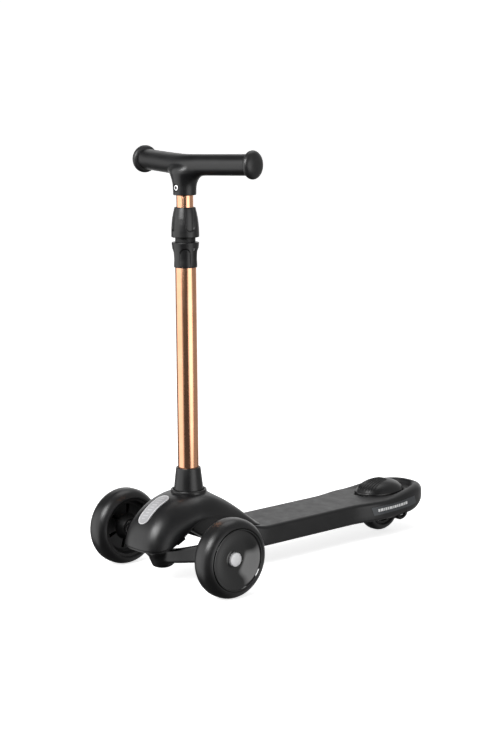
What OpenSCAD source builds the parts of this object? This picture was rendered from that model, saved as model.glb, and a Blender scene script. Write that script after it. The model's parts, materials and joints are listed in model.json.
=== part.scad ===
// Children's three-wheel kick scooter: lean-to-steer front truck, telescopic T-handle, domed rear brake.
// Front is -Y, the rider's left is +X, up is +Z. The origin is on the floor under the middle of the scooter.

/* [Front wheels] */
// Diameter of a front wheel
front_wheel_d = 120; // [110:1:126]
// Width of a front tyre
front_tyre_w = 44; // [38:1:46]
// Diameter of the hub rim that the front tyre sits on
front_core_d = 94; // [84:1:98]
// Distance between the middles of the two front wheels
front_track = 256; // [240:1:300]
// Diameter of the domed cap over each axle bolt
cap_d = 20.6; // [18:0.2:24]

/* [Rear wheel] */
// Diameter of the rear wheel
rear_wheel_d = 80; // [66:1:84]
// Width of the rear tyre
rear_tyre_w = 26; // [22:1:28]
// Diameter of the hub rim that the rear tyre sits on
rear_core_d = 56; // [50:1:60]
// Distance from the front axle to the rear axle
wheelbase = 440; // [400:1:530]

/* [Bearings and axles] */
// Diameter of the axle bolts
axle_d = 8; // [7:0.5:8]
// Outer diameter of each ball bearing
bearing_d = 22; // [19:0.2:27]
// Width of each ball bearing
bearing_w = 7; // [6:0.5:8]

/* [Deck] */
// Width of the deck
deck_w = 96; // [88:0.2:116]
// Height of the deck's top above the floor
deck_top = 66; // [64:1:74]
// Depth of the deck's side
deck_depth = 32; // [26:1:36]
// Wall thickness of the mouldings
wall = 3.5; // [2.5:0.1:4]
// Width across the rounded tail
tail_w = 114; // [106:1:136]
// Length of the tail behind the rear axle
tail_reach = 80; // [72:1:96]
// Height of the tail's rear rim above the deck
tail_rise = 9; // [4:0.5:14]

/* [Head] */
// Distance of the stem behind the front axle
stem_y = 27.5; // [24:0.5:32]
// Length of the nose in front of the front axle
nose_reach = 77; // [70:1:88]
// Width of the head cover
cover_w = 108; // [100:1:120]
// Height of the head cover's ring above the floor
ring_z = 138; // [134:1:146]
// Tilt of the steering axis from upright, its top forward
kingpin_tilt = 25; // [15:1:30]
// Diameter of the kingpin
kingpin_d = 10; // [8:0.5:12]

/* [Stem] */
// Outer diameter of the lower tube
lower_tube_d = 31.8; // [30:0.1:33.5]
// Outer diameter of the upper tube
upper_tube_d = 25.4; // [21:0.1:26]
// Wall thickness of both tubes
tube_wall = 1.6; // [1.2:0.1:1.8]
// Height of the lower collar's top above the floor
collar_top = 514; // [480:1:560]

/* [Handle] */
// Height of the handlebar's middle line above the floor
bar_z = 627; // [612:1:660]
// Diameter of the handlebar
bar_d = 31.4; // [29:0.2:33]
// Distance from the handle's middle to each end pad, along the bar
bar_half = 127.7; // [115:1:145]
// Sweep of each side of the bar towards the rider
bar_sweep = 11; // [0:1:15]
// Diameter of each end pad
pad_d = 42; // [38:1:48]

/* [Clearances] */
// Radial running clearance of a pin or axle in its bore
run = 0.05; // [0.02:0.01:0.1]
// Gap between pieces that move past each other
gap = 1; // [0.6:0.1:1.5]
// Small fitting gap between fixed pieces
fit = 0.1; // [0:0.05:0.3]

/* [Hidden] */
$fn = 64;

// Colours
black = [0.10, 0.10, 0.11];
satin = [0.16, 0.16, 0.17];
gloss = [0.05, 0.05, 0.06];
rose_gold = [0.85, 0.58, 0.42];
silver = [0.80, 0.80, 0.80];
steel = [0.60, 0.61, 0.62];
rubber = [0.12, 0.12, 0.12];
label_grey = [0.35, 0.36, 0.38];

// Places along the scooter, measured from the front axle
axle_y = nose_reach - (nose_reach + wheelbase + tail_reach) / 2; // front axle in the part's frame
tail_tip = wheelbase + tail_reach;
front_r = front_wheel_d / 2;
rear_r = rear_wheel_d / 2;
deck_bottom = deck_top - deck_depth;

// Deck outline: a raised neck, the plain deck, then the rounded tail
neck_front = stem_y - 20;     // front end of the neck
neck_back = stem_y + 125;     // where the neck has become the plain deck
neck_half = cover_w / 2 - 18; // half width of the neck at its front end
neck_top = ring_z - 31;       // height of the neck's top at its front end
neck_drop = 26;               // depth of the neck's side at its front end
tail_start = wheelbase - 110; // where the deck starts to widen
tail_mid = wheelbase - 40;    // where the tail is widest
tail_power = 2.6;             // fullness of the tail's rounded end
corner_r = 6;                 // rounding of the deck's long edges

function mix(a, b, t) = a + (b - a) * t;
function clamp(t) = min(1, max(0, t));
function ease(t) = let (u = clamp(t)) u * u * (3 - 2 * u);
function share(y, low, high) = clamp((y - low) / (high - low));
function deck_half(y) =
  y < neck_back ? mix(neck_half, deck_w / 2, ease(share(y, stem_y + 30, neck_back))) :
  y < tail_mid ? mix(deck_w / 2, tail_w / 2, ease(share(y, tail_start, tail_mid))) :
  tail_w / 2 * pow(1 - pow(share(y, tail_mid, tail_tip), tail_power), 1 / tail_power);
function deck_high(y) =
  y < neck_back ? mix(neck_top, deck_top, ease(share(y, stem_y, neck_back))) :
  deck_top + tail_rise * ease(1.25 * share(y, tail_mid, tail_tip));
function deck_low(y) =
  y < neck_back ? mix(neck_top - neck_drop, deck_bottom, 1 - pow(1 - share(y, neck_front, neck_back), 2.2)) :
  deck_bottom + deck_depth * 0.5 * pow(share(y, wheelbase + 22, tail_tip), 2);

// A solid lofted along Y through rings of points, each ring clockwise when seen from the front
module loft(rings) {
  n = len(rings[0]);
  last = len(rings) - 1;
  polyhedron(
    points = [for (ring = rings) for (p = ring) p],
    faces = concat(
      [[for (i = [0:n - 1]) i], [for (i = [n - 1:-1:0]) last * n + i]],
      [for (k = [0:last - 1]) for (i = [0:n - 1]) let (j = (i + 1) % n) [k * n + i, (k + 1) * n + i, (k + 1) * n + j]],
      [for (k = [0:last - 1]) for (i = [0:n - 1]) let (j = (i + 1) % n) [k * n + i, (k + 1) * n + j, k * n + j]]),
    convexity = 6);
}

// A shell between two stacks of level rings, the outer and the inner, from the rim up to the top
module shell(outer, inner, open_top) {
  n = len(outer[0]);
  m = len(outer);
  function at(side, k, i) = (side * m + k) * n + i % n;
  walls = [for (k = [0:m - 2]) for (i = [0:n - 1])
    each [[at(0, k, i), at(0, k + 1, i + 1), at(0, k, i + 1)], [at(0, k, i), at(0, k + 1, i), at(0, k + 1, i + 1)],
          [at(1, k, i), at(1, k, i + 1), at(1, k + 1, i + 1)], [at(1, k, i), at(1, k + 1, i + 1), at(1, k + 1, i)]]];
  rim = [for (i = [0:n - 1])
    each [[at(0, 0, i), at(0, 0, i + 1), at(1, 0, i + 1)], [at(0, 0, i), at(1, 0, i + 1), at(1, 0, i)]]];
  mouth = [for (i = [0:n - 1])
    each [[at(0, m - 1, i), at(1, m - 1, i + 1), at(0, m - 1, i + 1)],
          [at(0, m - 1, i), at(1, m - 1, i), at(1, m - 1, i + 1)]]];
  caps = [[for (i = [n - 1:-1:0]) at(0, m - 1, i)], [for (i = [0:n - 1]) at(1, m - 1, i)]];
  polyhedron(points = [for (stack = [outer, inner]) for (ring = stack) for (p = ring) p],
    faces = concat(walls, rim, open_top ? mouth : caps), convexity = 6);
}

// Section of the deck at y, a ring with rounded corners, shrunk by inset and lowered by drop
function deck_ring(y, inset, drop) =
  let (w = max(1.5, deck_half(y) - inset),
       t = inset > 0 ? deck_top - inset : deck_high(y),
       b = deck_low(y) - drop,
       r = max(0.5, min(corner_r - inset / 2, w - 0.5, (t - b) / 2 - 0.5)))
  [for (c = [[-1, 1, 180], [1, 1, 90], [1, -1, 0], [-1, -1, -90]]) for (k = [0:4])
    let (a = c[2] - 22.5 * k)
    [c[0] * (w - r) + r * cos(a), y, (c[1] > 0 ? t - r : b + r) + r * sin(a)]];
end_cut = 0.9997; // the tail's last ring stays just open
deck_steps = concat(
  [for (k = [0:9]) mix(neck_front, neck_back, k / 9)],
  [for (k = [0:5]) mix(tail_start, tail_mid, k / 5)],
  [for (k = [1:11]) mix(tail_mid, tail_tip, end_cut * sin(90 * k / 11))]);
module deck_block() { loft([for (y = deck_steps) deck_ring(y, 0, 0)]); }
module deck_hollow() {
  loft([for (y = deck_steps) if (y >= neck_back - 20 && y < tail_tip - 14) deck_ring(y, wall, 8)]);
}

// Rear wheel, brake and axle places
slot_half = rear_tyre_w / 2 + 3;        // half width of the wheel slot
slot_front = wheelbase - rear_r - 6;    // front end of the wheel slot
slot_rear = wheelbase + rear_r + 5;     // rear end of the wheel slot
bowl_inset = 13;                        // width of the tail's rim
bowl_front = wheelbase - 45;            // where the rim rises above the bowl
dome_a = 34;                            // half width of the brake dome
dome_b = 46;                            // half length of the brake dome
dome_rise = 22;                         // height of the dome above the deck
dome_wall = 3;
dome_skirt = 8;                         // depth of the dome's skirt below the deck's top
pedal_drop = 8;                         // room for the skirt when the brake is pressed
pin_y = wheelbase - dome_b + 1.5;       // brake hinge pin
pin_z = deck_top - 7;
pin_d = 4;
pin_l = 50;
lug_half = 10;                          // half width of the pedal's hinge lug
lug_r = 5;
cheek = 9;                              // thickness of each wall beside the rear wheel
axle_lobe_r = 14;                       // radius of the lobe round each end of the rear axle
axle_wall_x = tail_w / 2 - 2;           // outer face of the lobes
head_d = 13;                            // diameter of a bolt's head
head_l = 5;                             // height of a bolt's head
recess_r = 9;                           // radius of the recess round a rear bolt head
recess_l = head_l + 3;
core_screw_x = 14;                      // the two screws through the neck into the head core
core_screw_y = stem_y + 29;
core_screw_d = 5;

// Kingpin frame: origin on the steering axis, at the middle of the truck's boss, local Z along the axis
king_y = -28;
king_z = 45;
boss_r = 18.5;
boss_low = -12;                  // lower face of the boss
boss_high = 14;                  // upper face of the boss
cap_low = -17;                   // bottom of the boss cap
bush_wall = 2;
bush_d = kingpin_d + 2 * bush_wall;
flange_t = 1.5;                  // thickness of a bush's flange
nut_recess_r = bush_d / 2 + 4.5;
nut_room = 9;                    // depth of the recess for the kingpin's washer and nut
housing_low = boss_high + flange_t + gap / 2;
housing_high = 38;
bumper_t = 28;                   // distance of the rubber bumpers behind the steering axis
bumper_s = 12;                   // height of the bumpers above the frame's origin
bumper_d = 12;
bumper_l = 14;
tongue_half = 5;                 // half thickness of the truck's tongue between the bumpers
module kingpin_frame() { translate([0, king_y, king_z]) rotate([kingpin_tilt, 0, 0]) children(); }

// Stem heights
collar_low = collar_top - 37.7;         // bottom of the lower collar
nut_low = collar_top + 7.4;            // bottom of the twist collar
nut_high = nut_low + 44.6;             // top of the twist collar
tube_low = 80;                         // bottom of the lower tube
socket_r = lower_tube_d / 2 + 6;       // outside of the stem socket
socket_high = ring_z - 14;             // top of the stem socket
lower_tube_top = collar_top - 8;
handle_low = bar_z - 43.3;             // bottom of the handle's socket
handle_bore_top = bar_z - 12;
upper_tube_low = collar_top - 264;
lower_in_r = lower_tube_d / 2 - tube_wall;
upper_r = upper_tube_d / 2;
thread_r = upper_r + 2.55;             // radius of the collar's threaded neck
screw_z = bar_z - 32;                  // height of the handle screw
bolt_z = tube_low + 14;                // height of the stem bolt

// Front wheel places, measured along the axle from the scooter's middle
wheel_x = front_track / 2;
beam_end = wheel_x - front_tyre_w / 2 - 3;  // outer end of the axle beam
bearing_in = beam_end + 11;                 // inner bearing's inner face
bearing_out = bearing_in + bearing_w + 6;   // outer bearing's inner face
bolt_head_x = bearing_out + bearing_w;      // inner face of the bolt's head
bearing_r = bearing_d / 2;
core_r = front_core_d / 2;
rear_core_r = rear_core_d / 2;

module tube(outer_r, inner_r, low, high) {
  translate([0, 0, low]) difference() {
    cylinder(r = outer_r, h = high - low);
    translate([0, 0, -1]) cylinder(r = inner_r, h = high - low + 2);
  }
}
module along_x(x) { translate([x, 0, 0]) rotate([0, 90, 0]) children(); }
module at_stem() { translate([0, axle_y + stem_y, 0]) children(); }
module at_front() { translate([0, axle_y, 0]) children(); }
module at_front_axle() { translate([0, axle_y, front_r]) children(); }
module at_rear_axle() { translate([0, axle_y + wheelbase, rear_r]) children(); }
module on_side(side) { if (side < 0) mirror([1, 0, 0]) children(); else children(); }

// ---------- Deck ----------
// Plan outline of the bowl's floor inside the tail's rim
module bowl_plan() {
  steps = 14;
  back = tail_tip - bowl_inset;
  polygon([for (side = [1, -1]) for (k = [0:steps])
    let (t = side > 0 ? k / steps : 1 - k / steps, y = mix(bowl_front, back, t))
    [side * (tail_w / 2 - bowl_inset) * pow(max(0.004, 1 - pow(share(y, tail_mid, back), tail_power)), 1 / tail_power), y]]);
}
// Plan outline of the brake dome, grown by extra
module dome_plan(extra) {
  polygon([for (k = [0:47]) [(dome_a + extra) * cos(7.5 * k), (dome_b + extra) * sin(7.5 * k)]]);
}
module deck_ribs() {
  rib_low = deck_bottom + 3;
  rib_back = slot_front - 10;
  for (x = [-deck_w / 6, deck_w / 6])
    translate([x - wall / 2, neck_back - 22, rib_low]) cube([wall, rib_back - neck_back + 22, deck_depth - 5]);
  for (k = [0:4])
    translate([-deck_w / 2 + 1, mix(neck_back, rib_back - 40, k / 4), rib_low]) cube([deck_w - 2, wall, deck_depth - 5]);
}
module deck_cheeks() {
  cheek_low = deck_bottom + 1;
  front_wall = pin_y - 9;
  for (x = [-slot_half - cheek, slot_half])
    translate([x, front_wall, cheek_low]) cube([cheek, slot_rear - front_wall + wall, deck_top - cheek_low - 2]);
  translate([-deck_w / 2 + 2, front_wall, cheek_low]) cube([deck_w - 4, 16, deck_top - cheek_low - 2]);
  translate([-slot_half - cheek, slot_rear, cheek_low]) cube([2 * (slot_half + cheek), wall, deck_top - cheek_low - 2]);
}
module axle_lobes() {
  for (side = [0, 1]) mirror([side, 0, 0]) translate([0, wheelbase, rear_r])
    along_x(slot_half) cylinder(r = axle_lobe_r, h = axle_wall_x - slot_half);
}
module deck() {
  color(satin) at_front() difference() {
    union() {
      difference() {
        deck_block();
        deck_hollow();
        translate([0, 0, deck_top]) linear_extrude(deck_top) bowl_plan();
      }
      deck_ribs();
      deck_cheeks();
      axle_lobes();
    }
    // slot for the rear wheel, opening for the brake dome and notch for its hinge lug
    translate([-slot_half, slot_front, 0]) cube([2 * slot_half, slot_rear - slot_front, 2 * deck_top]);
    translate([0, wheelbase, deck_top - dome_skirt - pedal_drop]) linear_extrude(deck_top) dome_plan(gap);
    translate([-lug_half - gap, pin_y - lug_r - gap, pin_z - lug_r - gap])
      cube([2 * (lug_half + gap), 2 * lug_r, deck_top]);
    // rear axle with a recess for its head and for its nut
    translate([0, wheelbase, rear_r]) {
      along_x(-tail_w) cylinder(d = axle_d + 2 * fit, h = 2 * tail_w);
      along_x(axle_wall_x - recess_l) cylinder(r = recess_r, h = recess_l + tail_w);
      along_x(-axle_wall_x - tail_w) cylinder(r = recess_r, h = recess_l + tail_w);
    }
    translate([0, pin_y, pin_z]) along_x(-pin_l / 2) cylinder(d = pin_d, h = pin_l);
    // hole for the stem socket, and two screw holes
    translate([0, stem_y, 0]) cylinder(r = socket_r + fit, h = 2 * deck_top);
    for (x = [-core_screw_x, core_screw_x]) translate([x, core_screw_y, 0]) cylinder(d = core_screw_d, h = 2 * deck_top);
  }
}
// Thin stickers that follow the curved side walls of the tail
label_front = wheelbase - 66;
label_back = wheelbase + 38;
label_t = 0.4;
label_gap = 0.35;
function label_low(y) = deck_low(y) + corner_r + mix(4, 9, share(y, label_front, label_back));
module side_label(side) {
  steps = 12;
  color(label_grey) at_front() on_side(side) loft([for (k = [0:steps])
    let (y = mix(label_front, label_back, k / steps), x = deck_half(y) + label_gap,
         low = label_low(y), high = min(deck_high(y) - corner_r - 0.5, low + 14))
    [[x, y, low], [x, y, high], [x + label_t, y, high], [x + label_t, y, low]]]);
}
module side_label_left() { side_label(1); }
module side_label_right() { side_label(-1); }

// ---------- Head ----------
flange_z = neck_top + fit;  // underside of the core's flange on the neck
flange_h = 6;
ear_t = 5;
ear_x = tongue_half + bumper_l + 1;
ear_trim = 2.5;             // how far the ears stop short of the bumpers' lower edge, clear of the arms
arm_half = 15;
// Stem socket, flange on the neck, arm to the kingpin housing and ears outside the rubber bumpers
module head_core() {
  color(black) at_front() difference() {
    union() {
      translate([0, stem_y, neck_top - neck_drop + 2]) cylinder(r = socket_r, h = socket_high - neck_top + neck_drop - 2);
      translate([-core_screw_x - 8, stem_y - 34, flange_z]) cube([2 * core_screw_x + 16, 34 + 29 + 8, flange_h]);
      rotate([90, 0, 90]) linear_extrude(2 * arm_half, center = true)
        polygon([[stem_y - 20, flange_z + flange_h], [-16, flange_z + flange_h], [-46, 93], [-50, 82], [-34, 64],
                 [-14, 73], [-5, 84], [stem_y - 22, 92], [stem_y - 22, flange_z], [stem_y - 20, flange_z]]);
      kingpin_frame() {
        translate([0, 0, housing_low]) cylinder(r = boss_r - 1, h = housing_high - housing_low);
        translate([-ear_x - ear_t, bumper_t - 9, bumper_s + bumper_d / 2 + 1]) cube([2 * (ear_x + ear_t), 16, 6]);
        for (x = [-ear_x - ear_t, ear_x]) translate([x, bumper_t - 9, bumper_s - bumper_d / 2 + ear_trim])
          cube([ear_t, 16, bumper_d + 7 - ear_trim]);
      }
    }
    translate([0, stem_y, tube_low - 1]) cylinder(d = lower_tube_d, h = ring_z);
    translate([0, stem_y, 0]) cylinder(d = lower_tube_d - 6, h = ring_z);
    translate([0, stem_y, bolt_z]) along_x(-socket_r - 1) cylinder(d = 6, h = 2 * socket_r + 2);
    for (side = [0, 1]) mirror([side, 0, 0]) translate([0, stem_y, bolt_z])
      along_x(socket_r - 4) cylinder(r = 7, h = 20);
    for (x = [-core_screw_x, core_screw_x]) translate([x, core_screw_y, 0]) cylinder(d = core_screw_d, h = ring_z);
    kingpin_frame() {
      cylinder(d = kingpin_d, h = housing_high + 20);
      translate([0, 0, housing_high - 6]) cylinder(d = kingpin_d + 8, h = 30);
    }
  }
}

// Cover: height of the ring's foot, widths and fullness of its three directions
ring_r = lower_tube_d / 2 + 11.6;
ring_h = 5;
cover_power_plan = 3.2;  // squareness of the nose in plan
nose_low = 62;           // height of the nose's lower edge
cover_back = neck_back - 1;
cover_gap = 1;           // height of the cover's rear edge above the neck
function cover_half(y) = mix(cover_w / 2, deck_w / 2 - 2, ease(share(y, stem_y, stem_y + 95)));
function cover_rim_z(y) = y < stem_y ? mix(nose_low, neck_top - 4, ease(share(y, -nose_reach - 1, stem_y - 5))) :
  max(deck_high(y) - 4 * ease(share(y, neck_back - 20, neck_back - 70)), deck_top) + cover_gap;
// Point of the cover at plan angle a and share u of the way from the ring to the rim, shrunk by inset
function cover_point(a, u, inset) =
  let (c = cos(a), s = sin(a), e = 2 / (s < 0 ? cover_power_plan : 4),
       reach = s < 0 ? stem_y + nose_reach : cover_back - stem_y,
       ry = stem_y + sign(s) * (reach - inset) * pow(abs(s), e),
       rx = sign(c) * (cover_half(ry) - inset) * pow(abs(c), e),
       p = s < 0 ? mix(1.6, 1.45, -s) : mix(1.6, 0.92, s),
       h = pow(max(0, 1 - pow(u, p)), 1 / p),
       foot = ring_z - ring_h - inset)
  [mix((ring_r - inset) * c, rx, u), mix(stem_y + (ring_r - inset) * s, ry, u), mix(cover_rim_z(ry), foot, h)];
cover_steps = [1, 0.985, 0.95, 0.88, 0.78, 0.66, 0.52, 0.38, 0.24, 0.1, 0];
cover_sides = 40;
module head_cover() {
  color(satin) at_front() union() {
    shell([for (u = cover_steps) [for (k = [0:cover_sides - 1]) cover_point(360 * k / cover_sides, u, 0)]],
          [for (u = cover_steps) [for (k = [0:cover_sides - 1]) cover_point(360 * k / cover_sides, u, wall)]], true);
    translate([0, stem_y, ring_z - ring_h - wall - 1]) difference() {
      cylinder(r = ring_r - 0.05, h = ring_h + wall + 1);
      translate([0, 0, -1]) cylinder(r = ring_r - 4, h = ring_z);
    }
  }
}
module cover_screws() {
  color(steel) at_front() for (x = [-core_screw_x, core_screw_x]) translate([x, core_screw_y, 0]) {
    low = deck_low(core_screw_y);
    translate([0, 0, low + 8]) cylinder(d = core_screw_d, h = flange_z + flange_h - low - 8);
    translate([0, 0, flange_z + flange_h]) cylinder(d = core_screw_d + 4, h = 3);
  }
}
// Badge along the nose's middle line, a pill that follows the cover
badge_w = 25;
badge_from = 0.93;
badge_to = 0.13;
badge_t = 1.6;
badge_gap = 0.6;
function nose_point(u, x, lift) =
  let (p = cover_point(270, u, 0), q = cover_point(270, u - 0.02, 0),
       n = [0, -(q[2] - p[2]), q[1] - p[1]], l = norm(n), sag = x * x / cover_w * 0.55)
  [x, p[1] + (n[1] / l) * (lift - sag), p[2] + (n[2] / l) * (lift - sag)];
module nose_badge() {
  steps = 14;
  color(silver) at_front() loft([for (k = [steps:-1:0])
    let (t = k / steps, u = mix(badge_to, badge_from, t), e = abs(2 * t - 1),
         half = max(1, badge_w / 2 * sqrt(max(0, 1 - pow(clamp((e - 0.62) / 0.38), 2)))))
    [for (i = [-4:4]) nose_point(u, half * i / 4, badge_t + badge_gap)
     , for (i = [4:-1:-4]) nose_point(u, half * i / 4, badge_gap)]]);
}

// ---------- Stem ----------
sleeve_low = ring_z - 8;
sleeve_high = ring_z + 33.8;
sleeve_r = lower_tube_d / 2 + 6.8;     // radius of the sleeve where it leaves the cover's ring
sleeve_top_r = lower_tube_d / 2 + 2.8;
module stem_sleeve() {
  color(black) at_stem() difference() {
    rotate_extrude() polygon([[0, sleeve_low], [sleeve_r, sleeve_low], [sleeve_r, ring_z],
      [sleeve_top_r, sleeve_high - 1.5], [sleeve_top_r - 1.5, sleeve_high], [0, sleeve_high]]);
    cylinder(d = lower_tube_d + 2 * fit, h = 2 * sleeve_high);
  }
}
module lower_tube() {
  color(rose_gold) at_stem() difference() {
    tube(lower_tube_d / 2, lower_in_r, tube_low, lower_tube_top);
    translate([0, 0, bolt_z]) along_x(-40) cylinder(d = 6, h = 80);
  }
}
module stem_bolt() {
  color(steel) at_stem() translate([0, 0, bolt_z]) {
    along_x(-socket_r + 1) cylinder(d = 6, h = 2 * socket_r - 5);
    along_x(socket_r - 4) cylinder(d = 10, h = 3);
  }
}
module stem_nut() {
  color(steel) at_stem() translate([0, 0, bolt_z]) difference() {
    along_x(-socket_r + 1) cylinder(d = 11, h = 3, $fn = 6);
    along_x(-socket_r) cylinder(d = 6, h = 5);
  }
}
// Fixed collar on the lower tube, with the threaded neck that the twist collar runs on
// Each profile point is [distance out from the lower tube, height above the collar's bottom]
collar_profile = [[1.4, 0], [2.7, 6.3], [2.9, 15.3], [3.5, 24.2], [4.4, 32], [4.9, 35.7], [4.4, 37.7]];
collar_screw_d = 4;
collar_screw_z = collar_top - 9.7;
collar_screw_turn = 4;
neck_high = nut_low + 14;              // top of the collar's threaded neck
module lower_collar() {
  color(black) at_stem() difference() {
    rotate_extrude() polygon(concat([[0, collar_low]],
      [for (p = collar_profile) [lower_tube_d / 2 + p[0], collar_low + p[1]]],
      [[thread_r, collar_top], [thread_r, neck_high], [0, neck_high]]));
    cylinder(d = lower_tube_d, h = lower_tube_top);
    cylinder(r = upper_r + 1, h = nut_high);
    translate([0, 0, collar_screw_z]) rotate([0, 0, collar_screw_turn]) along_x(upper_r) cylinder(d = collar_screw_d, h = 20);
  }
}
module collar_screw() {
  color(steel) at_stem() translate([0, 0, collar_screw_z]) rotate([0, 0, collar_screw_turn]) difference() {
    along_x(lower_tube_d / 2 + fit) cylinder(d = collar_screw_d, h = 2.6);
    along_x(lower_tube_d / 2 + 1.2) cylinder(d = collar_screw_d / 2, h = 4, $fn = 6);
  }
}
// Split conical clamp sleeve round the upper tube, on top of the threaded neck
collet_low = neck_high + fit;
collet_high = nut_high - 14;
module collet() {
  color(label_grey) at_stem() difference() {
    rotate_extrude() polygon([[0, collet_low], [thread_r - 0.4, collet_low], [thread_r - 0.4, collet_high - 8],
      [thread_r - 2, collet_high], [0, collet_high]]);
    cylinder(r = upper_r + 0.3, h = 2 * nut_high);
    for (a = [0, 120, 240]) rotate([0, 0, a + 30]) translate([0, -0.6, collet_low + 2]) cube([30, 1.2, 60]);
  }
}
// Nylon ring that rises and sinks with the twist collar and presses on the collet
ring_low = collet_high + 0.4;
module slip_ring() {
  color(silver) at_stem() tube(thread_r + 0.6, upper_r + 0.6, ring_low, ring_low + 2.4);
}
flute_count = 4;
flute_turn = -15;
nut_r = lower_tube_d / 2 + 5.05; // widest radius of the twist collar
// Each profile point is [distance in from the widest radius, height above the collar's bottom]
nut_profile = [[0.6, 0], [0, 1.5], [0.15, 10.4], [0.75, 19.4], [1.75, 28.3], [3.55, 37.2], [4.75, 42.6], [5.75, 44.6]];
module twist_collar() {
  color(black) at_stem() difference() {
    rotate_extrude() polygon(concat([[0, nut_low]], [for (p = nut_profile) [nut_r - p[0], nut_low + p[1]]],
      [[0, nut_high]]));
    cylinder(r = upper_r + 0.8, h = 2 * nut_high);
    translate([0, 0, nut_low - 1]) cylinder(r = thread_r + run, h = ring_low + 3 - nut_low - 1);
    translate([0, 0, collet_low - 1]) cylinder(r = thread_r + 0.8, h = ring_low + 2.4 + fit - collet_low + 1);
    for (k = [0:flute_count - 1]) rotate([0, 0, 360 * k / flute_count + flute_turn])
      translate([nut_r + 5.4, 0, nut_low + 11]) rotate([0, -6, 0]) cylinder(r = 7.2, h = 60);
  }
}

// ---------- Sliding handle ----------
module upper_tube() {
  color(rose_gold) at_stem() difference() {
    tube(upper_r, upper_r - tube_wall, upper_tube_low, handle_bore_top);
    translate([0, 0, screw_z]) rotate([90, 0, 0]) cylinder(d = 5, h = 40);
  }
}
bush_h = 30;
module tube_bush() {
  color(rubber) at_stem() difference() {
    union() {
      tube(lower_in_r - run, upper_r, upper_tube_low, upper_tube_low + bush_h);
      tube(lower_in_r - run, upper_r - 4, upper_tube_low - 3, upper_tube_low);
    }
  }
}
module tube_plug() {
  color(black) at_stem() translate([0, 0, screw_z - 12]) difference() {
    cylinder(r = upper_r - tube_wall, h = 24);
    translate([0, 0, 12]) rotate([90, 0, 0]) cylinder(d = 5, h = 40);
  }
}
socket_wall = 4.6;
bar_rise = 1.6;
handle_socket_r = upper_r + socket_wall;
pad_l = 11;
stub_r = 9;
module bar_arm(side, r, from, to) {
  translate([0, 0, bar_z]) rotate([0, 0, side > 0 ? bar_sweep : 180 - bar_sweep]) rotate([0, 90 - bar_rise, 0])
    translate([0, 0, from]) cylinder(r = r, h = to - from);
}
module handlebar() {
  color(black) at_stem() difference() {
    union() {
      rotate_extrude() polygon([[0, handle_low], [handle_socket_r - 1, handle_low], [handle_socket_r, handle_low + 1],
        [handle_socket_r + 0.2, handle_low + 12], [handle_socket_r + 1, handle_low + 24], [handle_socket_r + 1, bar_z], [0, bar_z]]);
      for (side = [1, -1]) {
        bar_arm(side, bar_d / 2, 0, bar_half - pad_l / 2);
        bar_arm(side, stub_r, 10, bar_half - pad_l / 2 + 7);
      }
      translate([0, 0, bar_z]) sphere(d = bar_d);
    }
    cylinder(r = upper_r, h = handle_bore_top);
    translate([0, 0, screw_z]) rotate([90, 0, 0]) {
      cylinder(d = 5, h = 40);
      translate([0, 0, handle_socket_r - 2.5]) cylinder(r = 4.7, h = 20);
    }
  }
}
module end_pad(side) {
  color(rubber) at_stem() difference() {
    translate([0, 0, bar_z]) rotate([0, 0, side > 0 ? bar_sweep : 180 - bar_sweep]) rotate([0, 90 - bar_rise, 0])
      translate([0, 0, bar_half]) rotate_extrude() polygon(concat([[0, -pad_l / 2], [bar_d / 2, -pad_l / 2]],
        [for (k = [0:8]) let (a = -90 + 22.5 * k) [pad_d / 2 - pad_l / 2 + pad_l / 2 * cos(a), pad_l / 2 * sin(a)]],
        [[8, pad_l / 2 + 0.8], [0, pad_l / 2 + 1]]));
    bar_arm(side, stub_r, 0, bar_half - pad_l / 2 + 7);
  }
}
module end_pad_left() { end_pad(1); }
module end_pad_right() { end_pad(-1); }
module handle_screw() {
  color(silver) at_stem() translate([0, 0, screw_z]) rotate([90, 0, 0]) difference() {
    union() {
      translate([0, 0, 2]) cylinder(d = 5, h = handle_socket_r - 4.5);
      translate([0, 0, handle_socket_r - 2.5]) cylinder(r = 4.4, h = 2.2);
    }
    translate([0, 0, handle_socket_r - 1.9]) cylinder(d = 3.4, h = 5, $fn = 6);
  }
}

// ---------- Kingpin and front truck ----------
module kingpin() {
  color(steel) at_front() kingpin_frame() {
    translate([0, 0, boss_low - 1.5]) cylinder(d = kingpin_d, h = housing_high - 6 - boss_low + 1.5);
    translate([0, 0, housing_high - 6]) cylinder(d = kingpin_d + 6, h = 5);
  }
}
washer_high = boss_low + nut_room - flange_t - gap / 2;
module kingpin_washer() {
  color(steel) at_front() kingpin_frame() tube(kingpin_d / 2 + 4, kingpin_d / 2, washer_high - 1.5, washer_high);
}
module kingpin_nut() {
  color(steel) at_front() kingpin_frame() difference() {
    translate([0, 0, boss_low - 1]) cylinder(d = kingpin_d + 7, h = washer_high - 1.5 - boss_low + 1, $fn = 6);
    translate([0, 0, boss_low - 20]) cylinder(d = kingpin_d, h = 60);
  }
}
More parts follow.
